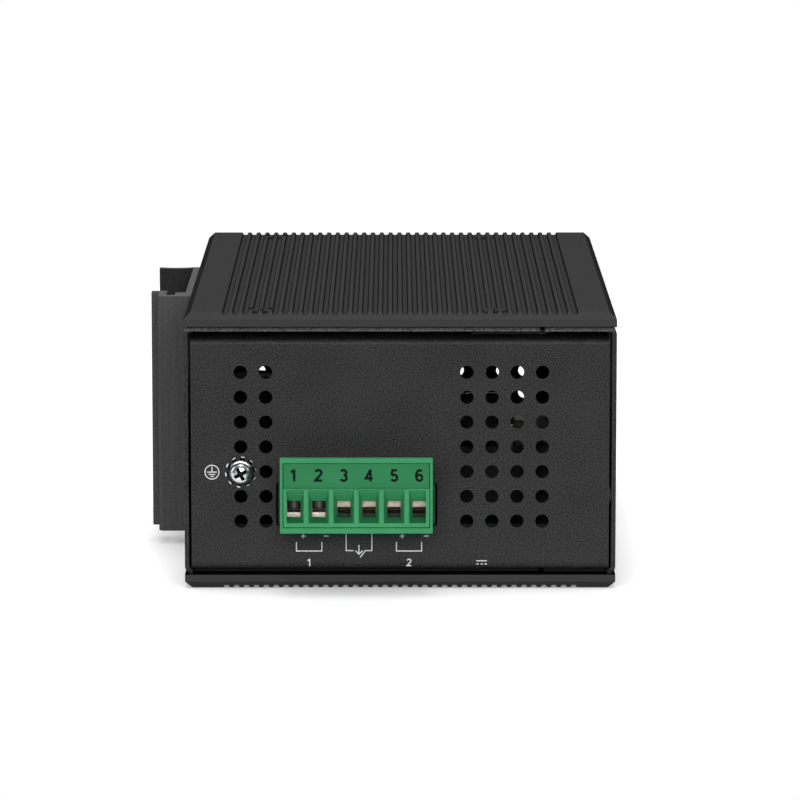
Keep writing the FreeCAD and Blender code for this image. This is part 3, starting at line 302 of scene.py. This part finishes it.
# Glass-epoxy board under matt black solder resist: copper shows through as slightly lighter tracks.
def solderResist():
    look = {"bare": "#0a0d0b", "copper": "#141c17", "spacing": 8.17, "plane": 8.0, "waver": 2.0,
            "roughness": 0.5, "specular": 0.06}
    material, tree, shader, place = newMaterial(
        "blackSolderResist", {"Roughness": look["roughness"], "Specular IOR Level": look["specular"]})
    waveScale = perMetre(look["spacing"]) * math.pi / 10  # a wave at scale 1 repeats every pi / 10
    planes = addNode(tree, "ShaderNodeTexVoronoi",
                     {"Scale": perMetre(look["plane"]), "distance": "MANHATTAN"}, {"Vector": place})
    steps = addNode(tree, "ShaderNodeTexWave", {"Scale": waveScale, "bands_direction": "DIAGONAL"},
                    {"Vector": planes.outputs["Position"]})
    lines = addNode(tree, "ShaderNodeTexWave", {"Scale": waveScale, "Distortion": look["waver"]},
                    {"Vector": place})
    tracks = addNode(tree, "ShaderNodeMath", {"operation": "MULTIPLY"},
                     {0: steps.outputs["Fac"], 1: lines.outputs["Fac"]})
    ramp = [(0.25, toLinear(look["bare"])), (0.4, toLinear(look["copper"]))]
    tone = addNode(tree, "ShaderNodeValToRGB", {"ramp": ramp}, {"Fac": tracks.outputs["Value"]})
    tree.links.new(tone.outputs["Color"], shader.inputs["Base Color"])
    return material


# Printing ink, laid through a screen: flat and matt, with a slightly uneven cover.
def printedInk(name, tone):
    look = {"roughness": 0.7, "specular": 0.15, "speck": 0.25, "thin": 0.85}
    # The specks of a real screen are near 0.1 mm. They are drawn coarser, so that they show.
    material, tree, shader, place = newMaterial(
        name, {"Roughness": look["roughness"], "Specular IOR Level": look["specular"]})
    speck = addNode(tree, "ShaderNodeTexNoise",
                    {"Scale": perMetre(look["speck"]), "Detail": 1.0}, {"Vector": place})
    full = toLinear(tone)
    ramp = [(0.3, scaled(full, look["thin"])), (0.6, full)]
    shade = addNode(tree, "ShaderNodeValToRGB", {"ramp": ramp}, {"Fac": speck.outputs["Fac"]})
    tree.links.new(shade.outputs["Color"], shader.inputs["Base Color"])
    return material


# Places on the pieces where painted shade starts: the covers' inner faces, the number strip and the funnel
# bottoms over the guide's foot, and the darkened lower part of the spring washer over its middle.
paintedShadeEdges = {"innerFace": 0.12, "strip": 7.93, "funnelFloor": 2.03, "washerShade": 1.17}
innerFace = paintedShadeEdges["innerFace"] * mm
coverInside = (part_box("lower_cover")[1].z - innerFace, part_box("upper_cover")[0].z + innerFace)
clipMiddle = sum(corner.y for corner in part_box("rail_clip")) / 2
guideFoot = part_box("wire_guide")[0].z
guideShadeHeights = [guideFoot + paintedShadeEdges[part] * mm for part in ("strip", "funnelFloor")]
washerShadeLine = sum(corner.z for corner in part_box("earth_spring_washer")) / 2 + paintedShadeEdges["washerShade"] * mm

finishes = {
    "cover": coatedExtrusion("blackCoatedAluminium", "#3f3f3f", "Y", roughness=0.8, specular=0.0,
                             contrast=0.06, paintedWallShade=0.48, inner=coverInside),  # dull charcoal, with painted shade on the groove sides and inner faces
    "sheet": sandedPowderCoat(),
    "clip": coatedExtrusion("blackAnodisedAluminium", "#4f4f4f", "Z", roughness=0.7, specular=0.03,
                            contrast=0.2, jaw=clipMiddle),  # lighter and streaked, with painted shade in the channel
    "blackSteel": coatedExtrusion("blackOxideSteel", "#101010", "Z", roughness=0.7, specular=0.03,
                                  contrast=0.15),  # deep black with hardly any shine
    "green": mouldedPlastic("greenPolyamide", "#328c57", "#38945e", roughness=0.5, specular=0.25, narrow=9.0,
                            darkest=0.04),  # fresh satin green, with painted shade deep inside
    "guide": mouldedPlastic("greenPolyamideInsert", "#368f5b", "#3c9762", roughness=0.5, specular=0.25,
                            shadeHeights=guideShadeHeights, narrow=4.0),  # a shade lighter, with painted shade on the number strip and the funnel bottoms
    "header": mouldedPlastic("greenPolyamidePaintedShade", "#123f26", "#174a2d", roughness=0.55, specular=0.25,
                             narrow=4.0),  # the plug's green darkened, as painted shade behind the panel
    "blackPlastic": mouldedPlastic("blackNylon", "#121212", "#1a1a1a", roughness=0.75,
                                   specular=0.04),  # flat black
    "clear": mouldedPlastic("frostedAcrylic", "#9aa09c", "#b4bab6", roughness=0.35, ior=1.49,
                            clear=0.5),  # milky, half see-through
    "sleeve": mouldedPlastic("blackShrinkFilm", "#121316", "#191b20", roughness=0.6,
                             specular=0.08),  # blue-black, with a faint sheen
    "ferrite": mouldedPlastic("sinteredFerrite", "#1b1b1d", "#262628", roughness=0.7,
                              specular=0.06),  # dry charcoal
    "zinc": platedMetal("brightZincPlate", "#e2e4e6", roughness=0.27, height=0.0005),  # cold and bright
    "zincPaintedShade": platedMetal("zincSpringSteelPaintedShade", "#e2e4e6", roughness=0.22, height=0.0005,
                              paintedShadeBelow=washerShadeLine),  # bright only above the painted shade
    "dullSteel": platedMetal("dullZincPlate", "#8a867f", roughness=0.5),  # grey, with blurred lights
    "toothed": platedMetal("springSteelPaintedShade", "#161718", roughness=0.45, height=0.0005),  # dark grey, as painted shade
    "toothGlint": platedMetal("paleSteelPaintedHighlight", "#eceef0", roughness=0.65, height=0.0005),  # pale all over, as painted highlight
    "recess": platedMetal("recessSteelPaintedShade", "#242527", roughness=0.5),  # dark, as painted shade in the cross recess
    "alloy": platedMetal("copperAlloyPaintedShade", "#453d35", roughness=0.5),  # brown, without sparkle
    "spring": platedMetal("springSteel", "#8f9196", roughness=0.3, height=0.004),  # cool grey, lined
    "tin": platedMetal("tinPlate", "#e6e0d6", roughness=0.42),  # warm white with a soft shine
    "tinPaintedShade": platedMetal("tinPlatePaintedShade", "#b3a899", roughness=0.4, height=0.006),  # greyer copy of the tin with deeper lines, as painted shade on cages 3 to 6
    "nickel": platedMetal("nickelPlate", "#77746e", roughness=0.3, height=0.0005),  # yellowish grey, nickel darkened as painted shade behind the vents
    "darkNickel": platedMetal("nickelPlatePaintedShade", "#3a3836", roughness=0.55, height=0.0005),  # smoky, nickel darkened as painted shade behind the vents
    "gold": platedMetal("goldPlate", "#d9ad55", roughness=0.2),  # warm and shiny
    "can": platedMetal("bareAluminium", "#b9bbbd", roughness=0.35, height=0.004),  # light grey, lined
    "sink": platedMetal("greyAnodisedAluminium", "#66686a", roughness=0.55),  # darkened to brown as painted shade, without sparkle
    "board": solderResist(),
    "whiteInk": printedInk("whitePanelInk", "#dedede"),
    "blackInk": printedInk("blackPoleInk", "#030303"),
}
print("materials made:", len(finishes))

nodeFinish = {
    "cover": ["lower_cover", "upper_cover"],
    "sheet": ["chassis", "front_panel", "power_panel", "lower_panel"],
    "clip": ["rail_clip"],
    "blackSteel": ["lower_cover_screws", "upper_cover_screws", "clip_screws"],
    "green": ["plug_housing"],
    "guide": ["wire_guide"],
    "header": ["terminal_header"],
    "blackPlastic": ["jack_body", "fibre_connector", "alarm_relay", "controller_chip"],
    "clear": ["light_pipes"],
    "ferrite": ["transformer", "inductors"],
    "zinc": ["earth_screw", "earth_nut", "clip_nuts", "board_screws"],
    "zincPaintedShade": ["earth_spring_washer"],
    "dullSteel": clampScrews,
    "toothed": ["earth_washer"],
    "alloy": ["plug_contacts"],
    "spring": ["rail_spring"],
    "tin": ["header_pins", "board_standoffs", *cages[:2]],
    # Cages 3 to 6 take a greyer copy of the tin, as painted shade.
    "tinPaintedShade": cages[2:],
    "nickel": ["jack_shield"],
    "darkNickel": ["fibre_cage"],
    "gold": ["jack_contacts"],
    "can": ["capacitors"],
    "sink": ["chip_heat_sink"],
    "board": ["main_board"],
}
for finish, names in nodeFinish.items():
    for name in names:
        nodes[name].data.materials.clear()
        nodes[name].data.materials.append(finishes[finish])

# Edges that the real pieces have slightly rounded: the width, and the nodes that have it.
edgeRounding = {
    0.35: ["chassis", "front_panel"],
    0.2: ["rail_clip", "transformer", "alarm_relay", "inductors"],
    0.12: ["upper_cover", "lower_cover", "plug_housing", "wire_guide", *cages],
    0.1: ["terminal_header", "jack_shield", "fibre_cage", "rail_spring", *clampScrews],
    0.05: ["earth_nut", "chip_heat_sink"],
}
foldWidth = 0.3  # wider ones are folds in sheet, and get one more step
for width, names in edgeRounding.items():
    for name in names:
        weld = nodes[name].modifiers.new("weld", "WELD")
        weld.merge_threshold = weldGap
        bevel = nodes[name].modifiers.new("softEdges", "BEVEL")
        bevel.width = width * mm
        bevel.segments = 3 if width > foldWidth else 2
        bevel.limit_method = "ANGLE"
        bevel.angle_limit = sharpAngle
        bevel.harden_normals = True
print("CAD nodes finished")


def finishPiece(name, mesh, finishNames, body, stands=None):
    bmesh.ops.recalc_face_normals(mesh, faces=mesh.faces)
    for face in mesh.faces:
        face.smooth = True
    for edge in mesh.edges:
        edge.smooth = edge.calc_face_angle(0) < sharpAngle
    data = bpy.data.meshes.new(name)
    mesh.to_mesh(data)
    mesh.free()
    piece = bpy.data.objects.new(name, data)
    bpy.context.scene.collection.objects.link(piece)
    for finish in finishNames:
        data.materials.append(finishes[finish])
    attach(piece, body)
    if stands:
        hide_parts(stands)


# Turned shape about Z from (radius, height) steps, each step with its own finish if asked.
def lathe(mesh, profile, sides, stepFinish=None):
    rings = []
    for radius, height in profile:
        turns = [2 * math.pi * k / sides for k in range(sides)] if radius else [0]
        ring = [(radius * mm * math.cos(a), radius * mm * math.sin(a), height * mm) for a in turns]
        rings.append([mesh.verts.new(point) for point in ring])
    for step, (a, b) in enumerate(zip(rings, rings[1:])):
        for k in range(sides):
            n = k + 1
            corners = [a[k % len(a)], a[n % len(a)], b[n % len(b)], b[k % len(b)]]
            face = mesh.faces.new(list(dict.fromkeys(corners)))  # three corners where a ring is a point
            face.material_index = stepFinish[step] if stepFinish else 0


# The first shape less the second.
def carve(mesh, cutter):
    holders = []
    for source in (mesh, cutter):
        bmesh.ops.recalc_face_normals(source, faces=source.faces)
        data = bpy.data.meshes.new("shape")
        source.to_mesh(data)
        source.free()
        data.materials.append(None)  # two slots, so that the cut keeps a finish of its own
        data.materials.append(None)
        holders.append(bpy.data.objects.new("shape", data))
        bpy.context.scene.collection.objects.link(holders[-1])
    cut = holders[0].modifiers.new("recess", "BOOLEAN")
    cut.object = holders[1]
    cut.solver = "EXACT"
    bpy.context.view_layer.update()
    evaluated = holders[0].evaluated_get(bpy.context.evaluated_depsgraph_get())
    carved = bpy.data.meshes.new_from_object(evaluated)
    result = bmesh.new()
    result.from_mesh(carved)
    for data in [carved] + [holder.data for holder in holders]:
        bpy.data.meshes.remove(data)  # takes its object with it
    return result


def joinShapes(shapes):
    joined = bmesh.new()
    data = bpy.data.meshes.new("shape")
    for shape in shapes:
        shape.to_mesh(data)
        shape.free()
        joined.from_mesh(data)
    bpy.data.meshes.remove(data)
    return joined


# Pan-head screw along Z: crowned head, tapered cross recess, turned thread.
def panScrew(look):
    radius, height, thread, pitch = look["head"] / 2, look["height"], look["thread"] / 2, look["pitch"]
    steps, crown = look["crownSteps"], look["crown"]
    angles = [math.pi / 2 * k / steps for k in range(steps - 1, -1, -1)]
    profile = [(0, height)]
    profile += [(radius * math.cos(a) ** crown, height * math.sin(a) ** crown) for a in angles]
    profile.append((thread, 0))
    for i in range(int(look["reach"] / pitch) - 1):
        profile += [(thread * look["root"], -(i + 0.5) * pitch), (thread, -(i + 1) * pitch)]
    profile += [(thread * look["point"], -look["reach"]), (0, -look["reach"])]
    blank = bmesh.new()
    lathe(blank, profile, look["sides"])
    cutter = bmesh.new()
    arm, half = look["recess"] / 2, look["wing"] / 2
    loops = []
    for spread, z in ((look["mouth"], height + look["above"]), (look["floor"], height - look["depth"])):
        quarter = [Vector((x * spread, y * spread)) for x, y in ((arm, -half), (arm, half), (half, half))]
        outline = [Matrix.Rotation(math.pi / 2 * q, 2) @ corner for q in range(4) for corner in quarter]
        loops.append([cutter.verts.new((p.x * mm, p.y * mm, z * mm)) for p in outline])
    for loop in loops:
        cutter.faces.new(loop)
    count = len(loops[0])
    for k in range(count):
        n = (k + 1) % count
        cutter.faces.new((loops[0][k], loops[0][n], loops[1][n], loops[1][k]))
    # The recess faces take the second finish, dark as painted shade.
    for face in cutter.faces:
        face.material_index = 1
    return carve(blank, cutter)


# Sizes that all screws share, then each group: the way its heads look, and its own sizes.
screwShape = {"thread": 2.9, "pitch": 0.5, "root": 0.84, "point": 0.75, "crown": 0.75, "crownSteps": 12,
              "sides": 48, "recess": 3.0, "mouth": 1.08, "floor": 0.55, "above": 0.2, "turnStep": 37}
zincHead = {"finish": "zinc", "slot": "zinc_steel", "wing": 0.75}
blackHead = {"finish": "blackSteel", "slot": "black_steel", "wing": 0.7, "head": 5.0, "height": 1.1,
             "reach": 4.7, "depth": 0.9}
screwRows = {
    "earthScrew": {**zincHead, "node": "earth_screw", "out": (0, -1, 0), "turn": 28,
                   "head": 4.5, "height": 2.0, "reach": 6.3, "depth": 1.35},
    "upperCoverScrews": {**blackHead, "node": "upper_cover_screws", "out": (0, 0, 1), "turn": 20},
    "lowerCoverScrews": {**blackHead, "node": "lower_cover_screws", "out": (0, 0, -1), "turn": 65},
    "clipScrews": {**blackHead, "node": "clip_screws", "out": (-1, 0, 0), "turn": 12, "reach": 5.1},
    "boardScrews": {**zincHead, "node": "board_screws", "out": (0, 0, 1), "turn": 40,
                    "head": 5.0, "height": 1.8, "reach": 4.1, "depth": 1.2},
}
for name, row in screwRows.items():
    look = {**screwShape, **row}
    low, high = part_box(look["node"])
    out = Vector(look["out"])
    inset = look["head"] / 2 * mm
    spots = []
    for axis in range(3):
        if out[axis]:
            spots.append([(high if out[axis] > 0 else low)[axis] - out[axis] * look["height"] * mm])
        else:
            ends = [low[axis] + inset, high[axis] - inset]
            spots.append(ends if ends[1] - ends[0] > mm else ends[:1])  # one row where the ends agree
    upright = Vector((0, 0, 1)).rotation_difference(out).to_matrix().to_4x4()
    shape = panScrew(look)
    screws = []
    for i, spot in enumerate(itertools.product(*spots)):
        turn = Matrix.Rotation(math.radians(look["turn"] + look["turnStep"] * i), 4, "Z")
        screws.append(shape.copy())
        screws[-1].transform(Matrix.Translation(spot) @ upright @ turn)
    shape.free()
    finishPiece(name, joinShapes(screws), [look["finish"], "recess"], "housing", look["node"])
print("screws made:", len(screwRows))

# Toothed washer: a flat ring, dark as painted shade, whose narrow teeth are twisted. Their bevelled ends are
# pale, as painted highlight.
toothed = {"inner": 1.65, "ring": 2.4, "thick": 0.4, "sides": 44, "count": 10, "start": 0.3, "root": 0.2,
           "wide": 0.95, "taper": 0.8, "twist": 24, "glintWidth": 0.24}
low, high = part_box("earth_washer")
tip = (high.x - low.x) / 2 / mm
inner, ring, half = toothed["inner"], toothed["ring"], toothed["thick"] / 2
section = [(inner, -half), (ring, -half), (ring, half), (inner, half), (inner, -half)]
washer = bmesh.new()
lathe(washer, section, toothed["sides"])
bmesh.ops.remove_doubles(washer, verts=washer.verts, dist=weldGap)
twist = Matrix.Rotation(math.radians(toothed["twist"]), 4, "X")
stand = Matrix.Translation(((ring + tip) / 2 * mm, 0, 0)) @ twist
length = tip - ring + toothed["root"]
size = Matrix.Diagonal((length * mm, toothed["wide"] * mm, toothed["thick"] * mm, 1))
for k in range(toothed["count"]):
    around = Matrix.Rotation(2 * math.pi * (k + toothed["start"]) / toothed["count"], 4, "Z")
    corners = bmesh.ops.create_cube(washer, size=1)["verts"]
    outer = {corner for corner in corners if corner.co.x > 0 and corner.co.z > 0}
    for corner in corners:
        if corner.co.x > 0:
            corner.co.y *= toothed["taper"]
        corner.co = around @ stand @ size @ corner.co
    ends = [edge for edge in washer.edges if set(edge.verts) <= outer]
    # The bevelled tooth ends take the pale finish, a painted highlight.
    bmesh.ops.bevel(washer, geom=ends, offset=toothed["glintWidth"] * mm, segments=1, affect="EDGES", material=1)
upright = Vector((0, 0, 1)).rotation_difference(Vector((0, -1, 0))).to_matrix().to_4x4()
washer.transform(Matrix.Translation((low + high) / 2) @ upright)
finishPiece("toothedWasher", washer, ["toothed", "toothGlint"], "housing", "earth_washer")
print("toothed washer made")

# Electrolytic cans: crimped above the base, in a shrink sleeve that leaves the vented top bare.
# Two large ones stand in a row at one corner of the node's box, and a small one at the opposite corner.
cans = {"large": 12.5, "apart": 14.0, "small": 8.0, "smallHeight": 16.0, "foot": 0.4, "crimp": 0.35,
        "crimpFrom": 1.6, "crimpTo": 3.0, "crimpSlope": 0.5, "shoulder": (0.35, 0.12), "shoulderLow": 0.5,
        "rim": 0.9, "dish": 0.25, "dishSlope": 0.2, "sides": 40}
low, high = [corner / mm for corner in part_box("capacitors")]
large, small = cans["large"] / 2, cans["small"] / 2
rowX, rowY, tall = low.x + large, high.y - large, high.z - low.z
canSpots = [(rowX, rowY - cans["apart"], large, tall), (rowX, rowY, large, tall),
            (high.x - small, low.y + small, small, cans["smallHeight"])]
foot, waist, slope = cans["foot"], cans["crimp"], cans["crimpSlope"]
canShapes = []
for x, y, radius, height in canSpots:
    sleeve = [(0, 0), (radius - foot, 0), (radius, foot), (radius, cans["crimpFrom"]),
              (radius - waist, cans["crimpFrom"] + slope), (radius - waist, cans["crimpTo"] - slope),
              (radius, cans["crimpTo"]), (radius, height - cans["shoulderLow"]),
              (radius - cans["shoulder"][0], height - cans["shoulder"][1]), (radius - cans["rim"], height)]
    bare = [(radius - cans["rim"] - cans["dishSlope"], height - cans["dish"]), (0, height - cans["dish"])]
    can = bmesh.new()
    lathe(can, sleeve + bare, cans["sides"], [0] * (len(sleeve) - 1) + [1] * len(bare))
    can.transform(Matrix.Translation((x * mm, y * mm, low.z * mm)))
    canShapes.append(can)
finishPiece("capacitorCans", joinShapes(canShapes), ["sleeve", "can"], "housing",
            "capacitors")
print("capacitors made")


# Print is laid as thin closed strokes with mitred corners on a face that looks along -Y.
# Each stroke is a little thicker than the one before, so that strokes that cross share no plane.
inkLook = {"thick": 0.03, "mitreLimit": 0.3, "figureStep": 0.15, "signStep": 0.02}


def layStroke(mesh, points, width, faceY, ink, closed=False):
    count = len(points)
    rails = []
    for i, point in enumerate(points):
        here = Vector(point)
        before = here - Vector(points[i - 1]) if closed or i > 0 else None
        after = Vector(points[(i + 1) % count]) - here if closed or i < count - 1 else None
        before, after = (before or after).normalized(), (after or before).normalized()
        mitre = Vector((-before.y - after.y, before.x + after.x)).normalized()
        reach = width / 2 / max(inkLook["mitreLimit"], mitre.dot(Vector((-after.y, after.x))))
        left, right = here + mitre * reach, here - mitre * reach
        rails.append([mesh.verts.new((p.x * mm, faceY - lift * mm, p.y * mm))
                      for p, lift in ((left, 0), (left, ink), (right, ink), (right, 0))])
    for a, b in zip(rails, rails[1:] + rails[:1] if closed else rails[1:]):
        for k in range(4):
            n = (k + 1) % 4
            mesh.faces.new((a[k], b[k], b[n], a[n]))
    if not closed:
        mesh.faces.new(rails[0])
        mesh.faces.new(rails[-1])


def arc(x, y, radiusX, radiusY, start, end, steps=16):
    turns = [math.radians(start + (end - start) * k / steps) for k in range(steps + 1)]
    return [(x + radiusX * math.cos(a), y + radiusY * math.sin(a)) for a in turns]


# Plain figures on a height of one.
figures = {
    "1": [[(0.07, 0), (0.07, 1)], [(-0.2, 0.74), (0.03, 0.9)]],
    "2": [arc(0, 0.715, 0.235, 0.225, 165, -35) + [(-0.255, 0.075), (0.29, 0.075)]],
    "3": [arc(-0.01, 0.735, 0.215, 0.205, 155, -90), arc(-0.01, 0.29, 0.25, 0.235, 90, -155)],
    "4": [[(0.13, 0), (0.13, 1)], [(0.1, 0.93), (-0.25, 0.25), (0.31, 0.25)]],
    "5": [[(0.25, 0.925), (-0.13, 0.925), (-0.2, 0.5)], arc(0.005, 0.305, 0.245, 0.245, 140, -150)],
    "6": [arc(0.02, 0.47, 0.265, 0.465, 50, 200), arc(0.01, 0.3, 0.235, 0.245, 0, 352, 24)],
}


def layFigure(mesh, figure, height, width, centre, faceY):
    for i, stroke in enumerate(figures[figure]):
        points = [(centre[0] + x * height, centre[1] + (y - 0.5) * height) for x, y in stroke]
        layStroke(mesh, points, width, faceY, inkLook["thick"] * (1 + inkLook["figureStep"] * i))


# Pole numbers on the guide's sunk strip, each over its clamp screw.
poleMarks = {"height": 2.46, "line": 0.5, "belowTop": 2.42, "recess": 0.6}
poleNumbers = bmesh.new()
guideLow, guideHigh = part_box("wire_guide")
stripY = guideLow.y + poleMarks["recess"] * mm
stripZ = guideHigh.z / mm - poleMarks["belowTop"]
for i in poles:
    x = sum(corner.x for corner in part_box(f"clamp_screw_{i}")) / 2 / mm
    layFigure(poleNumbers, str(i), poleMarks["height"], poleMarks["line"], (x, stripZ), stripY)
finishPiece("poleNumbers", poleNumbers, ["blackInk"], "plug")

# Panel print in the frame's X and Z: supply brackets with their signs and numbers, the fault contact
# and the direct current sign. The earth sign is placed from the earth screw.
panelMarks = {
    "line": 0.22, "bracketLow": 7.79, "bracketHigh": 9.67, "brackets": [(-21.2, -16.0), (-0.75, 4.39)],
    "signZ": 10.9, "signArm": 0.5, "signs": [(-19.8, -15.1), (0.41, 5.31)],
    "figureZ": 5.4, "figureHeight": 1.55, "figureLine": 0.25,
    "contact": [[(-11.03, 12.9), (-11.03, 7.87), (-9.56, 7.87)],
                [(-5.78, 12.9), (-5.78, 7.87), (-7.11, 7.87), (-8.19, 6.44)],
                [(-8.43, 9.03), (-8.43, 7.3)],
                [(-9.13, 7.87), (-8.43, 7.12), (-7.66, 7.87)]],
    "current": [[(15.59, 5.75), (17.74, 5.75)], [(15.59, 5.09), (16.05, 5.09)],
                [(16.44, 5.09), (16.9, 5.09)], [(17.28, 5.09), (17.74, 5.09)]],
    "earth": (-5.88, -0.08), "earthCircle": 2.86, "earthStem": 1.15,
    "earthBars": [(0.02, 1.0), (-0.45, 0.66), (-0.88, 0.33)],
}
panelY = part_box("power_panel")[0].y
strokes = panelMarks["contact"] + panelMarks["current"]
low, high = panelMarks["bracketLow"], panelMarks["bracketHigh"]
for left, right in panelMarks["brackets"]:
    strokes.append([(left, high), (left, low), (right, low), (right, high)])
signZ, arm = panelMarks["signZ"], panelMarks["signArm"]
for plus, minus in panelMarks["signs"]:
    strokes += [[(x - arm, signZ), (x + arm, signZ)] for x in (plus, minus)]
    strokes.append([(plus, signZ - arm), (plus, signZ + arm)])
screwLow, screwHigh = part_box("earth_screw")
earthX = (screwLow.x + screwHigh.x) / 2 / mm + panelMarks["earth"][0]
earthZ = (screwLow.z + screwHigh.z) / 2 / mm + panelMarks["earth"][1]
strokes.append([(earthX, earthZ + panelMarks["earthStem"]), (earthX, earthZ)])
for rise, half in panelMarks["earthBars"]:
    strokes.append([(earthX - half, earthZ + rise), (earthX + half, earthZ + rise)])
panelPrint = bmesh.new()
for i, stroke in enumerate(strokes):
    ink = inkLook["thick"] * (1 + inkLook["signStep"] * i)
    layStroke(panelPrint, stroke, panelMarks["line"], panelY, ink)
radius = panelMarks["earthCircle"] / 2
circle = arc(earthX, earthZ, radius, radius, 0, 354, 59)  # 60 points, the last joined to the first
layStroke(panelPrint, circle, panelMarks["line"], panelY, inkLook["thick"], True)
for figure, (left, right) in zip("12", panelMarks["brackets"]):
    layFigure(panelPrint, figure, panelMarks["figureHeight"], panelMarks["figureLine"],
              ((left + right) / 2, panelMarks["figureZ"]), panelY)
finishPiece("panelPrint", panelPrint, ["whiteInk"], "housing")
print("print laid")

# Camera at the photograph's viewing angle, in metres.
view = {"place": (-0.00124, -1.0043, 0.18832), "target": (-0.00003, -0.0675, 0.03908),
        "lens": 210.02, "sensor": 36.0}
camera = bpy.data.objects.new("camera", bpy.data.cameras.new("camera"))
bpy.context.scene.collection.objects.link(camera)
camera.location = view["place"]
camera.rotation_euler = (Vector(view["target"]) - camera.location).to_track_quat("-Z", "Y").to_euler()
camera.data.lens = view["lens"]
camera.data.sensor_width = view["sensor"]
bpy.context.scene.camera = camera

# Pale paper floor. It is lifted to white where it is seen; near the object occlusion cuts the lift back, a
# painted shadow over the soft shadow of the lamps. Its half width and its middle are in metres.
floorLook = {"half": 0.3, "middle": 0.1, "tone": "#c4c4c4", "roughness": 0.9, "lift": 0.68, "nearLift": 0.2,
             "reach": 24.0, "covered": 0.08, "open": 0.75}
grid = bmesh.new()
bmesh.ops.create_grid(grid, x_segments=1, y_segments=1, size=floorLook["half"])
floorMesh = bpy.data.meshes.new("floor")
grid.to_mesh(floorMesh)
grid.free()
floor = bpy.data.objects.new("floor", floorMesh)
bpy.context.scene.collection.objects.link(floor)
floor.location = (0, floorLook["middle"], cadBox[0][2])
paper, tree, shader, _ = newMaterial(
    "whitePaper", {"Base Color": toLinear(floorLook["tone"]), "Roughness": floorLook["roughness"],
                   "Specular IOR Level": 0.0, "Emission Color": white})
path = addNode(tree, "ShaderNodeLightPath")
straight = addNode(tree, "ShaderNodeMath", {"operation": "MAXIMUM"},
                   {0: path.outputs["Is Camera Ray"], 1: path.outputs["Is Transmission Ray"]})
shown = addNode(tree, "ShaderNodeMath", {"operation": "MAXIMUM"},
                {0: straight.outputs["Value"], 1: path.outputs["Is Glossy Ray"]})
# Painted shadow: less lift where the object is near.
paintedShadowOcclusion = addNode(tree, "ShaderNodeAmbientOcclusion", {"Distance": floorLook["reach"] * mm, "samples": 16})
paintedShadowLift = addNode(tree, "ShaderNodeMapRange",
                   {"From Min": floorLook["covered"], "From Max": floorLook["open"],
                    "To Min": floorLook["nearLift"], "To Max": floorLook["lift"]},
                   {"Value": paintedShadowOcclusion.outputs["AO"]})
lift = addNode(tree, "ShaderNodeMath", {"operation": "MULTIPLY"},
               {0: shown.outputs["Value"], 1: paintedShadowLift.outputs["Result"]})
tree.links.new(lift.outputs["Value"], shader.inputs["Emission Strength"])
floorMesh.materials.append(paper)

# Studio: white backdrop for the camera and for gloss, a darker room in front, and soft boxes above, in
# front, behind and at the sides. Places and sizes are in metres.
studio = {"ambient": 0.14, "gloss": 1.0, "room": 0.06, "roomFrom": -0.4, "roomTo": 0.3, "aim": (0, 0, 0.03)}
softBoxes = {
    "key": {"place": (0.0, -1.25, 0.45), "size": (0.9, 0.45), "power": 12.4},
    "top": {"place": (0.0, 0.0, 1.1), "size": (0.3, 1.0), "power": 6.0},
    "back": {"place": (0.0, 1.2, 0.6), "size": (0.8, 0.4), "power": 4.5},
    "left": {"place": (-1.2, 0.0, 0.5), "size": (0.5, 0.7), "power": 1.8},
    "right": {"place": (1.2, 0.0, 0.5), "size": (0.5, 0.7), "power": 1.8},
}
world = bpy.data.worlds.new("studio")
world.use_nodes = True
bpy.context.scene.world = world
tree = world.node_tree
tree.nodes.clear()
path = addNode(tree, "ShaderNodeLightPath")
direction = addNode(tree, "ShaderNodeTexCoord").outputs["Generated"]
axes = addNode(tree, "ShaderNodeSeparateXYZ", None, {"Vector": direction})
depth = addNode(tree, "ShaderNodeMapRange", {"From Min": studio["roomFrom"], "From Max": studio["roomTo"],
                                             "To Min": studio["room"], "To Max": studio["gloss"]},
                {"Value": axes.outputs["Y"]})
ambient = addNode(tree, "ShaderNodeBackground", {"Color": white, "Strength": studio["ambient"]})
backdrop = addNode(tree, "ShaderNodeBackground", {"Color": white, "Strength": 1.0})
glossy = addNode(tree, "ShaderNodeBackground", {"Color": white}, {"Strength": depth.outputs["Result"]})
straight = addNode(tree, "ShaderNodeMath", {"operation": "MAXIMUM"},
                   {0: path.outputs["Is Camera Ray"], 1: path.outputs["Is Transmission Ray"]})
lit = addNode(tree, "ShaderNodeMixShader", None,
              {0: straight.outputs["Value"], 1: ambient.outputs["Background"],
               2: backdrop.outputs["Background"]})
mirrored = addNode(tree, "ShaderNodeMixShader", None,
                   {0: path.outputs["Is Glossy Ray"], 1: lit.outputs["Shader"],
                    2: glossy.outputs["Background"]})
addNode(tree, "ShaderNodeOutputWorld", None, {"Surface": mirrored.outputs["Shader"]})
for name, box in softBoxes.items():
    lamp = bpy.data.lights.new(name, "AREA")
    lamp.shape = "RECTANGLE"
    lamp.size, lamp.size_y = box["size"]
    lamp.energy = box["power"]
    holder = bpy.data.objects.new(name, lamp)
    bpy.context.scene.collection.objects.link(holder)
    holder.location = box["place"]
    holder.rotation_euler = (Vector(studio["aim"]) - holder.location).to_track_quat("-Z", "Y").to_euler()
bpy.context.scene.view_settings.view_transform = "Standard"
print("camera, floor and light set")
